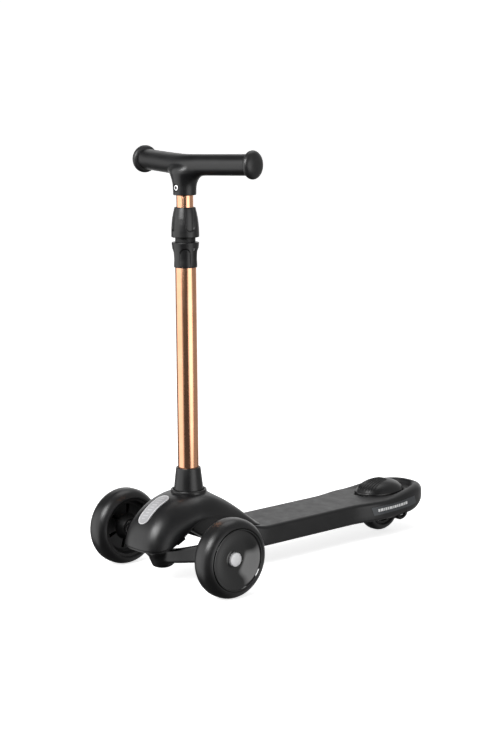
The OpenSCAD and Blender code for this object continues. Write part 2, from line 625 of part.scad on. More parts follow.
// Boss round the kingpin, a swept arm to each wheel, and a tongue between the rubber bumpers
arm_mid_x = beam_end * 0.68;
arm_low = 36;
arm_h = 22;
module axle_beam() {
  color(satin) at_front() difference() {
    union() {
      kingpin_frame() {
        translate([0, 0, boss_low]) cylinder(r = boss_r, h = boss_high - boss_low);
        translate([-tongue_half, 0, boss_high - 9]) cube([2 * tongue_half, bumper_t + 6, 9]);
      }
      for (side = [0, 1]) mirror([side, 0, 0]) {
        hull() {
          translate([6, king_y - 9, arm_low]) cube([1, 18, arm_h - 3]);
          translate([arm_mid_x, -17, arm_low + 2]) cube([1, 20, arm_h]);
        }
        hull() {
          translate([arm_mid_x, -17, arm_low + 2]) cube([1, 20, arm_h]);
          translate([beam_end - 12, -10, front_r - 13]) cube([1, 21, 25]);
        }
        translate([0, 0, front_r]) along_x(beam_end - 14) cylinder(r = 13, h = 14);
      }
    }
    kingpin_frame() {
      translate([0, 0, boss_low - 1]) cylinder(d = bush_d, h = boss_high - boss_low + 2);
      translate([0, 0, boss_low]) cylinder(r = nut_recess_r, h = nut_room);
      translate([0, 0, boss_low - 20]) cylinder(r = boss_r + 1, h = 20);
      translate([0, 0, boss_high]) cylinder(r = boss_r + 14, h = 30);
    }
    for (side = [0, 1]) mirror([side, 0, 0]) translate([0, 0, front_r]) along_x(beam_end - 30) cylinder(d = axle_d, h = 60);
  }
}
module kingpin_bushes() {
  middle = (boss_high + boss_low + nut_room) / 2;
  color(silver) at_front() kingpin_frame() {
    bore = kingpin_d / 2 + run;
    tube(bush_d / 2, bore, middle + 0.5, boss_high);
    tube(bush_d / 2 + 3, bore, boss_high, boss_high + flange_t);
    tube(bush_d / 2, bore, boss_low + nut_room, middle - 0.5);
    tube(bush_d / 2 + 3, bore, boss_low + nut_room - flange_t, boss_low + nut_room);
  }
}
// Rounded cap that closes the boss from below
module boss_cap() {
  color(satin) at_front() kingpin_frame() difference() {
    rotate_extrude() polygon(concat([[0, cap_low]],
      [for (k = [0:6]) let (a = -90 + 15 * k) [boss_r - 5 + 5 * cos(a), cap_low + 5 + 5 * sin(a)]], [[0, boss_low]]));
    translate([0, 0, boss_low - 3]) cylinder(r = nut_recess_r, h = 10);
  }
}
module bumper(side) {
  color(rubber) at_front() kingpin_frame() translate([0, bumper_t - 1, bumper_s])
    on_side(side) along_x(tongue_half + 0.5) cylinder(d = bumper_d, h = bumper_l);
}
module bumper_left() { bumper(1); }
module bumper_right() { bumper(-1); }

// ---------- Front wheels ----------
module axle_bolt(side) {
  color(steel) at_front_axle() on_side(side) difference() {
    union() {
      along_x(beam_end - 28) cylinder(d = axle_d, h = bolt_head_x - beam_end + 28);
      along_x(bolt_head_x + 0.3) cylinder(d = head_d, h = head_l);
      along_x(bolt_head_x) cylinder(d = axle_d, h = 1);
    }
    along_x(bolt_head_x + 1.8) cylinder(d = 6, h = 10, $fn = 6);
  }
}
module axle_bolt_left() { axle_bolt(1); }
module axle_bolt_right() { axle_bolt(-1); }
module wheel_spacer(side) {
  color(silver) at_front_axle() on_side(side) difference() {
    along_x(beam_end) cylinder(d = axle_d + 5, h = bearing_in - beam_end - 0.3);
    along_x(0) cylinder(d = axle_d, h = 200);
  }
}
module wheel_spacer_left() { wheel_spacer(1); }
module wheel_spacer_right() { wheel_spacer(-1); }

// Profile turned about the X axis; points are [distance along X, radius]
module turned(points) {
  rotate([0, 90, 0]) rotate([0, 0, 90]) rotate_extrude() polygon([for (p = points) [p[1], p[0]]]);
}
module tyre(r, core, half, round) {
  start = asin(clamp((core + 1 - r + round) / round));
  turned(concat([[-half + 3, core]],
    [for (k = [0:6]) let (a = mix(180 - start, 90, k / 6)) [round - half + round * cos(a), r - round + round * sin(a)]],
    [for (k = [0:6]) let (a = mix(90, start, k / 6)) [half - round + round * cos(a), r - round + round * sin(a)]],
    [[half - 3, core]]));
}
module bearing_pair(bore, outer, low_a, low_b, w) {
  for (low = [low_a, low_b]) {
    mid = (bore + outer) / 2;
    turned([[low, bore], [low + w, bore], [low + w, mid - 1.5], [low + w - 0.5, mid - 1.5], [low + w - 0.5, mid + 2],
      [low + w, mid + 2], [low + w, outer], [low, outer], [low, mid + 2], [low + 0.5, mid + 2],
      [low + 0.5, mid - 1.5], [low, mid - 1.5]]);
  }
}
front_half = front_tyre_w / 2;
rim_in = -front_half + 4;   // inner edge of the front hub's rim, from the wheel's middle
rim_out = front_half - 10;  // seat of the glossy cover
module tyre_side(side) {
  color(rubber) at_front_axle() on_side(side) translate([wheel_x, 0, 0]) tyre(front_r, core_r, front_half, front_half - 3);
}
module tyre_left() { tyre_side(1); }
module tyre_right() { tyre_side(-1); }
spoke_count = 6;
hub_slot_w = 5;
module hub(side) {
  boss = bearing_r + 4;
  inner = bearing_in - wheel_x;
  outer = bolt_head_x - wheel_x;
  slot_from = boss + 6;
  slot_to = core_r - 12;
  color(black) at_front_axle() on_side(side) translate([wheel_x, 0, 0]) difference() {
    union() {
      turned([[rim_in, core_r - 5], [rim_in, core_r], [rim_out + 4, core_r], [rim_out + 4, core_r - 2],
        [rim_out, core_r - 2], [rim_out, core_r - 5]]);
      turned([[inner, bearing_r], [inner, boss], [outer, boss], [outer, bearing_r]]);
      turned([[-1, boss - 1], [-1, core_r - 4], [3, core_r - 4], [3, boss - 1]]);
      for (k = [0:spoke_count - 1]) rotate([360 * (k + 1 / 3) / spoke_count, 0, 0])
        translate([rim_in + 3, -2, boss - 1]) cube([-rim_in - 2, 4, core_r - 3 - boss]);
    }
    for (k = [0:spoke_count - 1]) rotate([360 * (k - 1 / 6) / spoke_count, 0, 0]) {
      translate([-10, -hub_slot_w / 2, slot_from]) cube([30, hub_slot_w, slot_to - slot_from]);
      for (r = [slot_from, slot_to]) translate([0, 0, r]) along_x(-10) cylinder(d = hub_slot_w, h = 30);
    }
  }
}
module hub_left() { hub(1); }
module hub_right() { hub(-1); }
module bearings(side) {
  color(steel) at_front_axle() on_side(side) bearing_pair(axle_d / 2 + run, bearing_r, bearing_in, bearing_out, bearing_w);
}
module bearings_left() { bearings(1); }
module bearings_right() { bearings(-1); }
// Glossy dished cover, with a hole for the cap
cap_r = cap_d / 2;
face_x = front_half - 1.2;     // outer edge of the cover, from the wheel's middle
cap_face = front_half - 7.2;   // outer face of the cap's edge
module hub_cover(side) {
  edge = core_r - 0.6;
  color(gloss) at_front_axle() on_side(side) translate([wheel_x, 0, 0]) turned([
    [rim_out + 4 + fit, edge - 2.2], [rim_out + 4 + fit, edge], [face_x, edge], [face_x, edge - 1.6], [face_x - 2.4, edge - 3.4], [face_x - 6, edge - 8],
    [face_x - 8.6, edge - 15], [face_x - 9.4, cap_r + 5], [face_x - 8.6, cap_r + 2], [face_x - 8.6, cap_r + 0.4],
    [face_x - 10.6, cap_r + 0.4], [face_x - 11.6, cap_r + 5], [face_x - 10.6, edge - 16], [face_x - 7.6, edge - 8]]);
}
module hub_cover_left() { hub_cover(1); }
module hub_cover_right() { hub_cover(-1); }
module axle_cap(side) {
  dome = 2.2;
  color(silver) at_front_axle() on_side(side) translate([wheel_x, 0, 0]) turned(concat(
    [[cap_face - 1.5, 0]], [[cap_face - 1.5, cap_r - 1.5], [bolt_head_x - wheel_x + fit, cap_r - 1.5],
    [bolt_head_x - wheel_x + fit, cap_r]],
    [for (k = [0:6]) let (a = 90 - 15 * k) [cap_face + dome * cos(a), cap_r * sin(a)]]));
}
module axle_cap_left() { axle_cap(1); }
module axle_cap_right() { axle_cap(-1); }

// ---------- Rear wheel ----------
rear_inner = 3.5;  // half the distance between the rear bearings
module rear_axle_bolt() {
  color(steel) at_rear_axle() difference() {
    union() {
      along_x(-axle_wall_x + 1) cylinder(d = axle_d, h = 2 * axle_wall_x - recess_l - 1);
      along_x(axle_wall_x - recess_l) cylinder(d = head_d, h = head_l);
    }
    along_x(axle_wall_x - recess_l + 2) cylinder(d = 6, h = 10, $fn = 6);
  }
}
module rear_axle_nut() {
  color(steel) at_rear_axle() difference() {
    along_x(-axle_wall_x + recess_l - 5.5) cylinder(d = 14, h = 5.5, $fn = 6);
    along_x(-tail_w) cylinder(d = axle_d, h = tail_w);
  }
}
module rear_spacers() {
  face = rear_inner + bearing_w + 0.2;
  color(silver) at_rear_axle() difference() {
    for (low = [face, -slot_half]) along_x(low) cylinder(d = axle_d + 4, h = slot_half - face);
    along_x(-tail_w) cylinder(d = axle_d, h = 2 * tail_w);
  }
}
module rear_tyre() {
  color(rubber) at_rear_axle() tyre(rear_r, rear_core_r, rear_tyre_w / 2, rear_tyre_w / 2 - 3);
}
module rear_hub() {
  boss = bearing_r + 3;
  half = rear_inner + bearing_w;
  color(black) at_rear_axle() difference() {
    union() {
      turned([[-half, bearing_r], [-half, boss], [half, boss], [half, bearing_r]]);
      turned([[-2, boss - 1], [-2, rear_core_r - 3], [2, rear_core_r - 3], [2, boss - 1]]);
      turned([[-rear_tyre_w / 2 + 2.5, rear_core_r - 4], [-rear_tyre_w / 2 + 2.5, rear_core_r],
        [rear_tyre_w / 2 - 2.5, rear_core_r], [rear_tyre_w / 2 - 2.5, rear_core_r - 4]]);
      turned([[-rear_inner, bearing_r - 1.5], [-rear_inner, bearing_r + 1], [rear_inner, bearing_r + 1],
        [rear_inner, bearing_r - 1.5]]);
      for (k = [0:4]) rotate([72 * k + 20, 0, 0]) translate([-half + 1, -1.5, boss - 1])
        cube([2 * half - 2, 3, rear_core_r - 2 - boss]);
    }
  }
}
module rear_bearings() {
  color(steel) at_rear_axle()
    bearing_pair(axle_d / 2 + run, bearing_r, rear_inner, -rear_inner - bearing_w, bearing_w);
}

// ---------- Brake ----------
dome_power = 1.9;
pad_gap = 3;
pad_t = 1.2;
pad_half = 7;
pad_seat = 28;       // length of the block under the dome that carries the pad
function dome_point(a, u, inset) =
  let (h = pow(max(0, 1 - pow(u, 2.3)), 1 / dome_power))
  [(dome_a - inset) * u * cos(a), (dome_b - inset) * u * sin(a), deck_top + (dome_rise - inset) * h];
module brake_pedal() {
  sides = 36;
  us = [1, 0.97, 0.9, 0.8, 0.66, 0.5, 0.32, 0.14];
  color(satin) at_front() difference() {
    union() {
      translate([0, wheelbase, 0]) shell(
        concat([[for (k = [0:sides - 1]) let (p = dome_point(360 * k / sides, 1, 0)) [p[0], p[1], deck_top - dome_skirt]]],
          [for (u = us) [for (k = [0:sides - 1]) dome_point(360 * k / sides, u, 0)]]),
        concat([[for (k = [0:sides - 1]) let (p = dome_point(360 * k / sides, 1, dome_wall)) [p[0], p[1], deck_top - dome_skirt]]],
          [for (u = us) [for (k = [0:sides - 1]) dome_point(360 * k / sides, u, dome_wall)]]), false);
      translate([0, pin_y, pin_z]) along_x(-lug_half) cylinder(r = lug_r, h = 2 * lug_half);
      translate([-lug_half, pin_y, pin_z - 1]) cube([2 * lug_half, 5, 10]);
      translate([-pad_half, wheelbase - pad_seat / 2, 2 * rear_r + pad_gap - 3])
        cube([2 * pad_half, pad_seat, deck_top + dome_rise - 2 - 2 * rear_r - pad_gap + 3]);
    }
    translate([0, wheelbase, rear_r]) along_x(-pad_half - 1) cylinder(r = rear_r + pad_gap + pad_t + fit, h = 2 * pad_half + 2);
    translate([0, pin_y, pin_z]) along_x(-40) cylinder(d = pin_d + 2 * run, h = 80);
    for (side = [-1, 1]) translate([side * 6.5 - 2.5, pin_y - 8, pin_z - 8]) cube([5, 13.5, 16]);
  }
}
module brake_pad() {
  color(steel) at_rear_axle() rotate([0, 90, 0])
    linear_extrude(2 * pad_half, center = true) polygon(concat(
      [for (k = [-4:4]) let (a = 180 + 4 * k) (rear_r + pad_gap) * [cos(a), sin(a)]],
      [for (k = [4:-1:-4]) let (a = 180 + 4 * k) (rear_r + pad_gap + pad_t) * [cos(a), sin(a)]]));
}
module brake_pin() {
  color(steel) at_front() translate([0, pin_y, pin_z]) along_x(-pin_l / 2) cylinder(d = pin_d, h = pin_l);
}
// Torsion spring round the brake pin: two coils and a leg to the pedal and to the deck
module brake_spring() {
  wire = 1;
  coil_r = pin_d / 2 + wire;
  turns = 3;
  per_turn = 14;
  sides = 6;
  color(steel) at_front() for (side = [0, 1]) mirror([side, 0, 0]) translate([4.6, pin_y, pin_z])
    polyhedron(
      points = [for (k = [0:turns * per_turn]) let (a = 360 * k / per_turn) for (i = [0:sides - 1])
        let (b = 360 * i / sides, r = coil_r + wire / 2 * cos(b))
        [3.6 * k / (turns * per_turn) + wire / 2 * sin(b), r * cos(a), r * sin(a)]],
      faces = concat([[for (i = [sides - 1:-1:0]) i]],
        [for (k = [0:turns * per_turn - 1]) for (i = [0:sides - 1]) let (j = (i + 1) % sides)
          [k * sides + j, (k + 1) * sides + j, (k + 1) * sides + i, k * sides + i]],
        [[for (i = [0:sides - 1]) turns * per_turn * sides + i]]), convexity = 8);
}

deck();
side_label_left();
side_label_right();
head_core();
head_cover();
cover_screws();
nose_badge();
stem_sleeve();
lower_tube();
stem_bolt();
stem_nut();
lower_collar();
collar_screw();
collet();
slip_ring();
twist_collar();
upper_tube();
tube_bush();
tube_plug();
handlebar();
end_pad_left();
end_pad_right();
handle_screw();
kingpin();
kingpin_washer();
kingpin_nut();
axle_beam();
kingpin_bushes();
boss_cap();
bumper_left();
bumper_right();
axle_bolt_left();
axle_bolt_right();
wheel_spacer_left();
wheel_spacer_right();
tyre_left();
hub_left();
hub_cover_left();
bearings_left();
axle_cap_left();
tyre_right();
hub_right();
hub_cover_right();
bearings_right();
axle_cap_right();
rear_axle_bolt();
rear_axle_nut();
rear_spacers();
rear_tyre();
rear_hub();
rear_bearings();
brake_pedal();
brake_pad();
brake_pin();
brake_spring();
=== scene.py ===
"""Children's kick scooter: refined pieces, materials, camera and studio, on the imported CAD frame.

Shapes are worked out in millimetres, measured from the front axle: x to the rider's left, y backwards, z up.
"""

import json
from math import asin, cos, degrees, hypot, pi, radians, sin, sqrt, tan

import bmesh
import bpy
import numpy as np
from mathutils import Matrix, Vector


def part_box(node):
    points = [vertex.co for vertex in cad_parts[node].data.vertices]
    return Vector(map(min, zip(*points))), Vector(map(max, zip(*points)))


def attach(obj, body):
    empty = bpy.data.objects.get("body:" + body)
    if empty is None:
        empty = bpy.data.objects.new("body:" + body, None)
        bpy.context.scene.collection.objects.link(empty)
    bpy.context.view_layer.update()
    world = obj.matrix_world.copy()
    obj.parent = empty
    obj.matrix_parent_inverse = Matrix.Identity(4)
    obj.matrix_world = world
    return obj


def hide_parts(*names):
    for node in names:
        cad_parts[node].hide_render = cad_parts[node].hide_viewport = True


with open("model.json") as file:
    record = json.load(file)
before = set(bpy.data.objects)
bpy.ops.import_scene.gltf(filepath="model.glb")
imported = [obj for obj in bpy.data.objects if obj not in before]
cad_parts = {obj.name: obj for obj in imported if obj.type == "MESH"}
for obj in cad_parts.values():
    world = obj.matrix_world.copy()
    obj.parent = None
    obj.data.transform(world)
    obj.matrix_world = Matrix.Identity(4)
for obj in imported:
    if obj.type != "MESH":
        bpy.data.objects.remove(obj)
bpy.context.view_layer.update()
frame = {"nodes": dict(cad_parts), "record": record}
scene = bpy.context.scene
MM = 0.001


# ---------- Places, taken from the frame ----------
def box(node):
    low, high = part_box(node)
    return Vector(low) / MM, Vector(high) / MM


def middle(node):
    low, high = box(node)
    return (low + high) / 2


def size(node):
    low, high = box(node)
    return high - low


axle_y = middle("tyre_left").y
wheel_x = middle("tyre_left").x
front_r = size("tyre_left").z / 2
front_half = size("tyre_left").x / 2
core_r = size("hub_left").z / 2
rear_r = size("rear_tyre").z / 2
rear_half = size("rear_tyre").x / 2
rear_core_r = size("rear_hub").z / 2
wheelbase = middle("rear_tyre").y - axle_y
stem_y = middle("lower_tube").y - axle_y
lower_r = size("lower_tube").x / 2
upper_r = size("upper_tube").x / 2
ring_z = box("head_cover")[1].z
cover_w = size("head_cover").x
nose_reach = axle_y - box("head_cover")[0].y
tail_tip = box("deck")[1].y - axle_y
tail_w = size("deck").x
collar_low = box("lower_collar")[0].z
collar_top = 514  # the collar's lip; the same node goes on up as a neck, so its box doesn't give this
nut_low, nut_high = box("twist_collar")[0].z, box("twist_collar")[1].z
handle_low = box("handlebar")[0].z
deck_w = 96
deck_top = 66
deck_bottom = 34
tail_rise = 9


def place(x, y, z):
    """Metres in the row frame of a point in millimetres from the front axle."""
    return Vector((x, y + axle_y, z)) * MM


def mix(a, b, t):
    return a + (b - a) * t


def clamp(t):
    return min(1, max(0, t))


def ease(t):
    t = clamp(t)
    return t * t * (3 - 2 * t)


def share(v, low, high):
    return clamp((v - low) / (high - low))


# ---------- Materials ----------
def nodes_of(name):
    material = bpy.data.materials.new(name)
    material.use_nodes = True
    tree = material.node_tree
    shader = tree.nodes["Principled BSDF"]
    return material, tree, shader


def noise(tree, scale, detail=4, roughness=0.55, stretch=None):
    coords = tree.nodes.new("ShaderNodeTexCoord")
    texture = tree.nodes.new("ShaderNodeTexNoise")
    texture.inputs["Scale"].default_value = scale
    texture.inputs["Detail"].default_value = detail
    texture.inputs["Roughness"].default_value = roughness
    if stretch:
        mapping = tree.nodes.new("ShaderNodeMapping")
        mapping.inputs["Scale"].default_value = stretch
        tree.links.new(coords.outputs["Object"], mapping.inputs["Vector"])
        tree.links.new(mapping.outputs["Vector"], texture.inputs["Vector"])
    else:
        tree.links.new(coords.outputs["Object"], texture.inputs["Vector"])
    return texture.outputs["Fac"]


def ramp(tree, value, stops):
    node = tree.nodes.new("ShaderNodeValToRGB")
    elements = node.color_ramp.elements
    while len(elements) < len(stops):
        elements.new(0.5)
    for element, (position, colour) in zip(elements, stops):
        element.position = position
        element.color = (*colour, 1)
    tree.links.new(value, node.inputs["Fac"])
    return node.outputs["Color"]


def spread(tree, value, low, high):
    node = tree.nodes.new("ShaderNodeMapRange")
    node.inputs["From Min"].default_value = 0.3
    node.inputs["From Max"].default_value = 0.7
    node.inputs["To Min"].default_value = low
    node.inputs["To Max"].default_value = high
    tree.links.new(value, node.inputs["Value"])
    return node.outputs["Result"]


def lift(tree, height, strength, distance, normal=None):
    node = tree.nodes.new("ShaderNodeBump")
    node.inputs["Strength"].default_value = strength
    node.inputs["Distance"].default_value = distance
    tree.links.new(height, node.inputs["Height"])
    if normal:
        tree.links.new(normal, node.inputs["Normal"])
    return node.outputs["Normal"]


def worn(tree, colour, wear_colour, low, high, amount):
    """Mixes wear_colour in along outer edges, broken up by a noise."""
    geometry = tree.nodes.new("ShaderNodeNewGeometry")
    edge = tree.nodes.new("ShaderNodeMapRange")
    edge.inputs["From Min"].default_value = low
    edge.inputs["From Max"].default_value = high
    edge.inputs["To Max"].default_value = amount
    tree.links.new(geometry.outputs["Pointiness"], edge.inputs["Value"])
    patchy = tree.nodes.new("ShaderNodeMath")
    patchy.operation = "MULTIPLY"
    tree.links.new(edge.outputs["Result"], patchy.inputs[0])
    tree.links.new(spread(tree, noise(tree, 90, 3), 0.2, 1), patchy.inputs[1])
    blend = tree.nodes.new("ShaderNodeMix")
    blend.data_type = "RGBA"
    blend.inputs["B"].default_value = (*wear_colour, 1)
    tree.links.new(patchy.outputs["Value"], blend.inputs["Factor"])
    tree.links.new(colour, blend.inputs["A"])
    return blend.outputs["Result"]


def plastic(name, dark, light, rough, grain=1400, depth=0.03, coat=0.0, wear=0.0, specular=0.5):
    material, tree, shader = nodes_of(name)
    colour = ramp(tree, noise(tree, 28, 5), [(0.35, dark), (0.65, light)])
    if wear:
        colour = worn(tree, colour, [min(1, 3 * c + 0.02) for c in light], 0.53, 0.62, wear)
    tree.links.new(colour, shader.inputs["Base Color"])
    tree.links.new(spread(tree, noise(tree, 60, 6), *rough), shader.inputs["Roughness"])
    shader.inputs["Specular IOR Level"].default_value = specular
    shader.inputs["Coat Weight"].default_value = coat
    shader.inputs["Coat Roughness"].default_value = 0.04
    fine = lift(tree, noise(tree, grain, 2), 0.35, depth * MM)
    tree.links.new(lift(tree, noise(tree, 160, 3), 0.15, 0.03 * MM, fine), shader.inputs["Normal"])
    return material


def metal(name, dark, light, rough, stretch=(1, 1, 1), scale=300, wear=None):
    material, tree, shader = nodes_of(name)
    colour = ramp(tree, noise(tree, 35, 4), [(0.35, dark), (0.65, light)])
    if wear:
        colour = worn(tree, colour, wear, 0.55, 0.65, 0.5)
    tree.links.new(colour, shader.inputs["Base Color"])
    shader.inputs["Metallic"].default_value = 1
    tree.links.new(spread(tree, noise(tree, scale, 4, stretch=stretch), *rough), shader.inputs["Roughness"])
    scratches = lift(tree, noise(tree, scale * 3, 3, stretch=stretch), 0.12, 0.01 * MM)
    tree.links.new(scratches, shader.inputs["Normal"])
    return material


satin = plastic("satin_black", (0.005, 0.005, 0.0054), (0.0075, 0.0075, 0.008), (0.30, 0.40), wear=0.2,
                specular=0.48)
tread = plastic("deck_grain", (0.011, 0.011, 0.0113), (0.016, 0.016, 0.0165), (0.40, 0.52), grain=900,
                depth=0.06)
core_black = plastic("core_black", (0.006, 0.006, 0.0062), (0.009, 0.009, 0.0095), (0.42, 0.55),
                     specular=0.3)
gloss = plastic("gloss_black", (0.006, 0.006, 0.0062), (0.009, 0.009, 0.0095), (0.06, 0.11), grain=300,
                depth=0.002,
                coat=0.6)
tyre_black = plastic("tyre_black", (0.005, 0.005, 0.0053), (0.009, 0.009, 0.0095), (0.30, 0.40),
                     grain=700, depth=0.02,
                     wear=0.15, specular=0.5)
rubber = plastic("rubber_black", (0.010, 0.010, 0.0103), (0.015, 0.015, 0.0155), (0.34, 0.44),
                 grain=1000, depth=0.04,
                 specular=0.48)
badge_silver = plastic("badge_silver", (0.52, 0.52, 0.53), (0.62, 0.62, 0.63), (0.28, 0.4), grain=1800,
                       depth=0.02)
badge_field = plastic("badge_field", (0.30, 0.30, 0.31), (0.38, 0.38, 0.39), (0.4, 0.5), grain=2200,
                      depth=0.05)
badge_mark = plastic("badge_mark", (0.42, 0.42, 0.43), (0.50, 0.50, 0.51), (0.35, 0.45), grain=1800,
                     depth=0.02)
cap_silver = plastic("cap_silver", (0.80, 0.80, 0.81), (0.88, 0.88, 0.89), (0.22, 0.32), depth=0.01)
label_film = plastic("label_film", (0.045, 0.050, 0.054), (0.060, 0.065, 0.070), (0.3, 0.4), depth=0.01)
label_ink = plastic("label_ink", (0.72, 0.72, 0.72), (0.82, 0.82, 0.82), (0.35, 0.45), depth=0.01)
nylon_white = plastic("nylon_white", (0.55, 0.55, 0.53), (0.66, 0.66, 0.64), (0.4, 0.5))
nylon_grey = plastic("nylon_grey", (0.06, 0.06, 0.062), (0.09, 0.09, 0.092), (0.4, 0.5))
rose_gold = metal("rose_gold", (0.82, 0.42, 0.25), (0.88, 0.47, 0.29), (0.17, 0.24), (1, 1, 0.02), 900)
steel = metal("zinc_steel", (0.45, 0.46, 0.47), (0.60, 0.61, 0.62), (0.3, 0.42))
chrome = metal("screw_chrome", (0.80, 0.80, 0.81), (0.88, 0.88, 0.89), (0.08, 0.16), wear=(0.5, 0.5, 0.5))

FINISHES = {
    "satin_black": satin, "core_black": core_black, "gloss_black": gloss, "rose_gold": rose_gold,
    "tyre_black": tyre_black, "rubber_black": rubber, "badge_silver": badge_silver, "cap_silver": cap_silver,
    "label_grey": label_film, "nylon_white": nylon_white, "nylon_grey": nylon_grey, "steel": steel,
    "screw_chrome": chrome,
}
for part in frame["record"]["subparts"]:
    node = frame["nodes"][part["node"]]
    node.data.materials.clear()
    node.data.materials.append(FINISHES[part["material_slot"]])


# ---------- Mesh helpers ----------
def finish_mesh(mesh, sharp=32):
    work = bmesh.new()
    work.from_mesh(mesh)
    bmesh.ops.remove_doubles(work, verts=work.verts, dist=1e-7)
    bmesh.ops.recalc_face_normals(work, faces=work.faces)
    work.to_mesh(mesh)
    work.free()
    mesh.shade_smooth()
    mesh.set_sharp_from_angle(angle=radians(sharp))


def mesh_object(name, points, faces, material, sharp=32):
    mesh = bpy.data.meshes.new(name)
    mesh.from_pydata([tuple(p) for p in points], [], faces)
    mesh.materials.append(material)
    finish_mesh(mesh, sharp)
    thing = bpy.data.objects.new(name, mesh)
    scene.collection.objects.link(thing)
    return thing


def piece(thing, body, slot, *nodes):
    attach(thing, body)
    if nodes:
        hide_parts(*nodes)
    return thing


def loops_mesh(name, loops, material, closed=False, caps=True, sharp=32):
    """A surface through loops with equally many points. closed joins the last loop to the first."""
    n = len(loops[0])
    points = [p for loop in loops for p in loop]
    faces = []
    for k in range(len(loops) if closed else len(loops) - 1):
        a, b = k * n, ((k + 1) % len(loops)) * n
        faces += [(a + i, b + i, b + (i + 1) % n, a + (i + 1) % n) for i in range(n)]
    if caps and not closed:
        faces.append(tuple(range(n)))
        faces.append(tuple((len(loops) - 1) * n + i for i in reversed(range(n))))
    return mesh_object(name, points, faces, material, sharp)


def rounded(points, steps=5):
    """A closed outline with its corners rounded. Each corner is (a, b) or (a, b, radius)."""
    outline = []
    count = len(points)
    for i in range(count):
        here = Vector(points[i][:2])
        radius = points[i][2] if len(points[i]) > 2 else 0
        before = Vector(points[i - 1][:2]) - here
        after = Vector(points[(i + 1) % count][:2]) - here
        if radius <= 0:
            outline.append(here)
            continue
        angle = before.angle(after)
        reach = min(radius / tan(angle / 2), before.length * 0.49, after.length * 0.49)
        start, end = here + before.normalized() * reach, here + after.normalized() * reach
        for k in range(steps + 1):
            t = k / steps
            outline.append(start * (1 - t) ** 2 + here * 2 * t * (1 - t) + end * t * t)
    return outline


def turned(name, outline, origin, axis, material, segments=128, sharp=32):
    """A closed outline of (distance along the axis, radius) turned about the axis."""
    along = Vector(axis).normalized()
    side = along.orthogonal().normalized()
    other = along.cross(side)
    origin = Vector(origin)
    loops = []
    for p in outline:
        radius = max(p[1], 0)
        ring = []
        for k in range(segments):
            a = 2 * pi * k / segments
            ring.append((origin + along * p[0] + (side * cos(a) + other * sin(a)) * radius))
        loops.append([place(*q) for q in ring])
    return loops_mesh(name, loops, material, closed=True, sharp=sharp)


def cut(thing, cutter):
    """Subtracts cutter from thing, and removes it."""
    modifier = thing.modifiers.new("cut", "BOOLEAN")
    modifier.operation = "DIFFERENCE"
    modifier.solver = "EXACT"
    modifier.object = cutter
    graph = bpy.context.evaluated_depsgraph_get()
    mesh = bpy.data.meshes.new_from_object(thing.evaluated_get(graph))
    thing.modifiers.clear()
    old = thing.data
    thing.data = mesh
    bpy.data.meshes.remove(old)
    bpy.data.objects.remove(cutter)
    mesh.shade_smooth()
    mesh.set_sharp_from_angle(angle=radians(32))


def prism(outline, low, high, at=place):
    """A scratch solid over a plan outline of (x, y), from z = low to high; at maps its points."""
    loops = [[at(p[0], p[1], z) for p in outline] for z in (low, high)]
    return loops_mesh("cutter", loops, satin)


def joined(things):
    """One scratch object holding the meshes of several."""
    work = bmesh.new()
    for thing in things:
        work.from_mesh(thing.data)
        bpy.data.objects.remove(thing)
    mesh = bpy.data.meshes.new("cutter")
    work.to_mesh(mesh)
    work.free()
    both = bpy.data.objects.new("cutter", mesh)
    scene.collection.objects.link(both)
    return both


# ---------- Deck ----------
neck_front = stem_y - 20
neck_back = stem_y + 125
neck_half = cover_w / 2 - 18
neck_top = ring_z - 31
neck_drop = 26
tail_start = wheelbase - 110
tail_mid = wheelbase - 40
tail_power = 2.6
edge_r = 6
bowl_inset = 13
bowl_slope = 9
slot_half = rear_half + 3
slot_front = wheelbase - rear_r - 6
slot_rear = wheelbase + rear_r + 5
dome_a, dome_b = 34, 46
dome_rise = 22
axle_wall_x = tail_w / 2 - 2
lobe_r = 14
wall = 3.5
pin_y = wheelbase - dome_b + 1.5
pin_z = deck_top - 7


def deck_half(y):
    if y < neck_back:
        return mix(neck_half, deck_w / 2, ease(share(y, stem_y + 30, neck_back)))
    if y < tail_mid:
        return mix(deck_w / 2, tail_w / 2, ease(share(y, tail_start, tail_mid)))
    return tail_w / 2 * max(0, 1 - share(y, tail_mid, tail_tip) ** tail_power) ** (1 / tail_power)


def deck_high(y):
    if y < neck_back:
        return mix(neck_top, deck_top, ease(share(y, stem_y, neck_back)))
    return deck_top + tail_rise * ease(1.25 * share(y, tail_mid, tail_tip))


def deck_low(y):
    if y < neck_back:
        return mix(neck_top - neck_drop, deck_bottom, 1 - (1 - share(y, neck_front, neck_back)) ** 2.2)
    return deck_bottom + (deck_top - deck_bottom) * 0.5 * share(y, wheelbase + 22, tail_tip) ** 2


def edge_distance(x, y):
    """Distance in from the deck's outline."""
    if y < tail_mid:
        return max(0, deck_half(y) - abs(x))
    length = tail_tip - tail_mid
    u, v = abs(x) / (tail_w / 2), (y - tail_mid) / length
    f = u**tail_power + v**tail_power
    if f <= 0:
        return tail_w / 2
    rho = f ** (1 / tail_power)
    grow = rho ** (1 - tail_power)
    slope = hypot(grow * u ** (tail_power - 1) / (tail_w / 2), grow * v ** (tail_power - 1) / length)
    return max(0, (1 - rho) / max(slope, 1e-6))


def edge_top(y):
    return mix(edge_r, 12, ease(share(y, tail_mid - 30, tail_tip - 25)))


def edge_low(y):
    return mix(edge_r * 0.8, 10, ease(share(y, tail_mid - 10, tail_tip - 15)))


def fillet(d, r):
    return 0 if d >= r else r - sqrt(max(0, r * r - (r - d) ** 2))


def top_height(x, y):
    d = edge_distance(x, y)
    rim = (deck_high(y) - deck_top) if y > tail_mid else 0
    sink = rim * ease((d - bowl_inset) / bowl_slope)
    return deck_high(y) - sink - fillet(d, edge_top(y))


